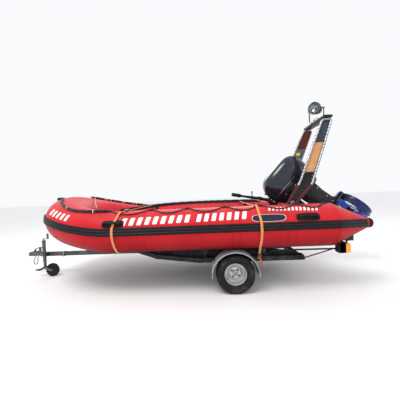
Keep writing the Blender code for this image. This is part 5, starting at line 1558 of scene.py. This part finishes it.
def pressedWheel():
    def fromCentre(angle, reach, y=0.0):
        return Vector((math.cos(angle) * reach, y, math.sin(angle) * reach))

    rim = wheel["rim"]
    # columns: radius, how far to port
    profile = (
        (0, 0.028), (0.026, 0.028), (0.0295, 0.0265), (0.031, 0.022), (0.033, 0.008), (0.036, 0.004), (0.058, 0.0015),
        (0.066, -0.001), (0.074, -0.006), (0.080, -0.0125), (0.092, -0.0185), (0.104, -0.0205), (0.110, -0.017),
        (0.1145, -0.008), (0.1165, 0.012), (0.1172, 0.040), (0.1180, 0.052), (0.121, 0.0585), (0.1255, 0.0605),
        (0.1285, 0.0585), (0.1287, 0.053), (rim, 0.050), (rim, -0.060), (0.1185, -0.060), (0.1185, -0.028),
        (0.106, -0.032), (0.080, -0.024), (0.066, -0.012), (0.034, -0.014), (0.034, -0.026), (0, -0.026),
    )
    seat = ((0.0085, -0.001), (0.0145, -0.001), (0.0155, -0.0035), (0.0135, -0.0055), (0.0085, -0.0065))
    parts, nuts = [lathe("disc", [(r, -t) for r, t in profile], hubCentre, "Y", 72)], []
    for k in range(wheel["bolts"]):
        spot = hubCentre + fromCentre(math.radians(52 + 90 * k), wheel["boltCircle"])
        parts.append(lathe("seat", seat, spot, "Y", 24))
        nuts.append(drum("nut", 0.0112, -0.0150, -0.001, spot, "Y", 0.0018, 6))
        nuts.append(drum("stud", 0.0055, -0.0190, -0.012, spot, "Y", 0.0008, 12))
    dome = ((0, -0.0278), (0.024, -0.0278), (0.0245, -0.032), (0.021, -0.0365), (0.012, -0.0395), (0, -0.0402))
    cap = lathe("cap", dome, hubCentre, "Y", 36)
    bothSides(welded("pressedWheel", parts), "pressedWheel", "wheel_steel", None, "rim_{}", 40, "wheel_{}")
    bothSides(welded("wheelNuts", nuts), "wheelNuts", "wheel_steel", "studDark", None, 35, "wheel_{}")
    bothSides(cap, "hubCap", "wheel_steel", "hubGrey", None, 40, "wheel_{}")
    a = math.radians(215)
    seat = hubCentre + fromCentre(a, 0.108, 0.004)
    stem = [seat, seat + fromCentre(a, -0.002, -0.02), seat + fromCentre(a, -0.006, -0.038)]
    valve = hose("valve", stem, [0.0052, 0.0048, 0.0042])
    bothSides(valve, "tyreValve", "wheel_steel", "hoseBlack", None, 60, "wheel_{}")


def mudguards():
    radius, middle, wall, armX = 0.274, 0.2165, 0.003, 0.246
    # a rolled lip at both edges and two shallow ribs, as columns of (across, lift)
    section = [
        (-0.915, -0.008), (-0.9145, -0.003), (-0.912, 0.0), (-0.905, 0.0), (-0.880, 0.0), (-0.875, -0.0025),
        (-0.865, -0.0025), (-0.860, 0.0), (-0.745, 0.0), (-0.740, -0.0025), (-0.730, -0.0025), (-0.725, 0.0),
        (-0.690, 0.0),
    ]
    inside = [(y, lift - wall) for y, lift in section[-2:2:-1]]
    section += [(-0.690, -0.03), (-0.6935, -0.03), (-0.6935, -wall)]
    section += inside + [(-0.9115, -wall - 0.001), (-0.912, -0.008)]
    rings = []
    for k in range(49):
        a = math.radians(-4.0 + 188.0 * k / 48)
        out = Vector((math.cos(a), 0, math.sin(a)))
        rings.append([at(0, y, middle) + out * (radius + lift) for y, lift in section])
    arms = [block("arm", at(x - 0.02, -0.692, 0.312), at(x + 0.02, -0.6256, 0.332)) for x in (-armX, armX)]
    bothSides(welded("mudguard", [skin("shell", rings)] + arms), "mudguardShell", "guard_grey", None, "mudguard_{}", 40)
    bolts = [drum("bolt", 0.0055, 0.332, 0.3375, at(x, -0.655, 0), "Z", 0.0008, 6) for x in (-armX, armX)]
    for turn in (4, 28, 152, 176):
        a, reach = math.radians(turn), radius - 0.018
        spot = at(math.cos(a) * reach, -0.694, middle + math.sin(a) * reach)
        bolts.append(drum("bolt", 0.006, -0.004, 0.0, spot, "Y", 0.0008, 6))
    bothSides(welded("guardBolts", bolts), "guardBolts", "guard_grey", "boltZinc")


def tailLamps():
    # housing, ribbed lens and its screws
    body = block("body", at(1.168, -0.86, 0.432), at(1.242, -0.765, 0.555), 0.006, 3)
    foot = block("foot", at(1.18, -0.768, 0.449), at(1.23, -0.73, 0.461))
    bothSides(welded("lampBack", [body, foot]), "lampBack", "lamp_amber", "hoseBlack")
    slices = []
    for k in range(15):
        z, grow = 0.434 + 0.098 * k / 14, 0.0 if k % 2 else 0.0012
        port, inner = -0.8538 - grow, -0.7712 + grow
        outline = (
            (1.2424, port), (1.293 + grow, port), (1.2945 + grow, -0.850), (1.2945 + grow, -0.775),
            (1.293 + grow, inner), (1.2424, inner),
        )
        slices.append([at(x, y, z) for x, y in outline])
    bothSides(skin("lens", slices), "lampLens", "lamp_amber", None, "tail_lamp_{}", 20)
    screws = [drum("screw", 0.004, 0.0, 0.002, at(1.2946, y, 0.483), "X", 0.0004, 12) for y in (-0.848, -0.778)]
    bothSides(welded("lampScrews", screws), "lampScrews", "lamp_amber", "boltZinc")


def trailerDetails():
    # a U-bolt with its plate over the drawbar, then bolts along the rails and the coupling
    bend = [(-2.55, y, z) for y, z in ((-0.031, 0.290), (-0.031, 0.365), (0.031, 0.365), (0.031, 0.290))]
    bolt = rounded(bend, 0.008, 4)
    bar = rounded([(-2.82, -0.13, 0.33), (-2.82, -0.146, 0.33), (-2.79, -0.146, 0.33)], 0.008, 4)
    parts = [
        hose("uBolt", [at(*p) for p in bolt], 0.004, 10), hose("clampHandle", [at(*p) for p in bar], 0.0052),
        block("plate", at(-2.57, -0.042, 0.2925), at(-2.53, 0.042, 0.2985), 0.001, 1),
    ]
    # columns: x, y, radius, low, high
    for x, y, radius, low, high in (
        (-2.55, 0.031, 0.0075, 0.285, 0.292), (-0.16, 0.60, 0.009, 0.3601, 0.368), (0.05, 0.60, 0.009, 0.3601, 0.368),
    ):
        parts += [drum("nut", radius, low, high, at(x, side * y, 0), "Z", 0.001, 6) for side in (-1, 1)]
    for x in (-2.99, -2.90):
        parts += pairOf("bolt", 0.0075, 0.030, 0.007, at(x, 0, 0.335), 0.001)
    finishPiece(welded("trailerBolts", parts), "galvanised", "boltZinc")
    finishPiece(drum("clampRing", 0.0355, 0.318, 0.342, at(-2.83, jockeyY, 0), "Z", 0.002, 28), "jockey_steel")


def jockeyTongue():
    # columns: x, half width, low, high
    stations = (
        (-2.995, 0.004, 0.098, 0.106), (-2.96, 0.012, 0.092, 0.110), (-2.90, 0.020, 0.092, 0.120),
        (-2.868, 0.024, 0.104, 0.138), (-2.842, 0.024, 0.124, 0.149),
    )
    rings = []
    for x, wide, low, high in stations:
        rings.append([at(x, y + jockeyY, z) for y, z in ((-wide, low), (wide, low), (wide, high), (-wide, high))])
    finishPiece(skin("jockeyTongue", rings), "jockey_steel", "hoseBlack", body="jockey_caster")


for make in (tyre, pressedWheel, mudguards, tailLamps, trailerDetails):
    make()
eased("drawbar", "galvanised", 0.0025, 40)
eased("axle", "galvanised", 0.0012, 40)
eased("coupling", "jockey_steel", 0.0025, 40)
eased("jockey_outer_tube", "jockey_steel", 0.0012, 40)
for side in ("port", "starboard"):
    eased("side_rail_" + side, "rail_dark", 0.0025)
    # near-black bunk boards: real boards, and also a dark mass painted in for the shade under the hull
    eased("hull_board_" + side, "bunk_board", 0.0015)
    eased("rear_stand_" + side, "stand_black", 0.0012, 45)
jockeyTongue()
eased("jockey_inner_tube", "jockey_steel", 0.0008, body="jockey_leg")
eased("jockey_fork", "jockey_steel", 0.0008, body="jockey_caster")
eased("jockey_wheel", "jockey_tyre", 0.0015, 40, "jockey_roller", 3, at(-2.712, jockeyY, 0.10))
eased("transom", "transom_board", 0.003)
print("trailer done")
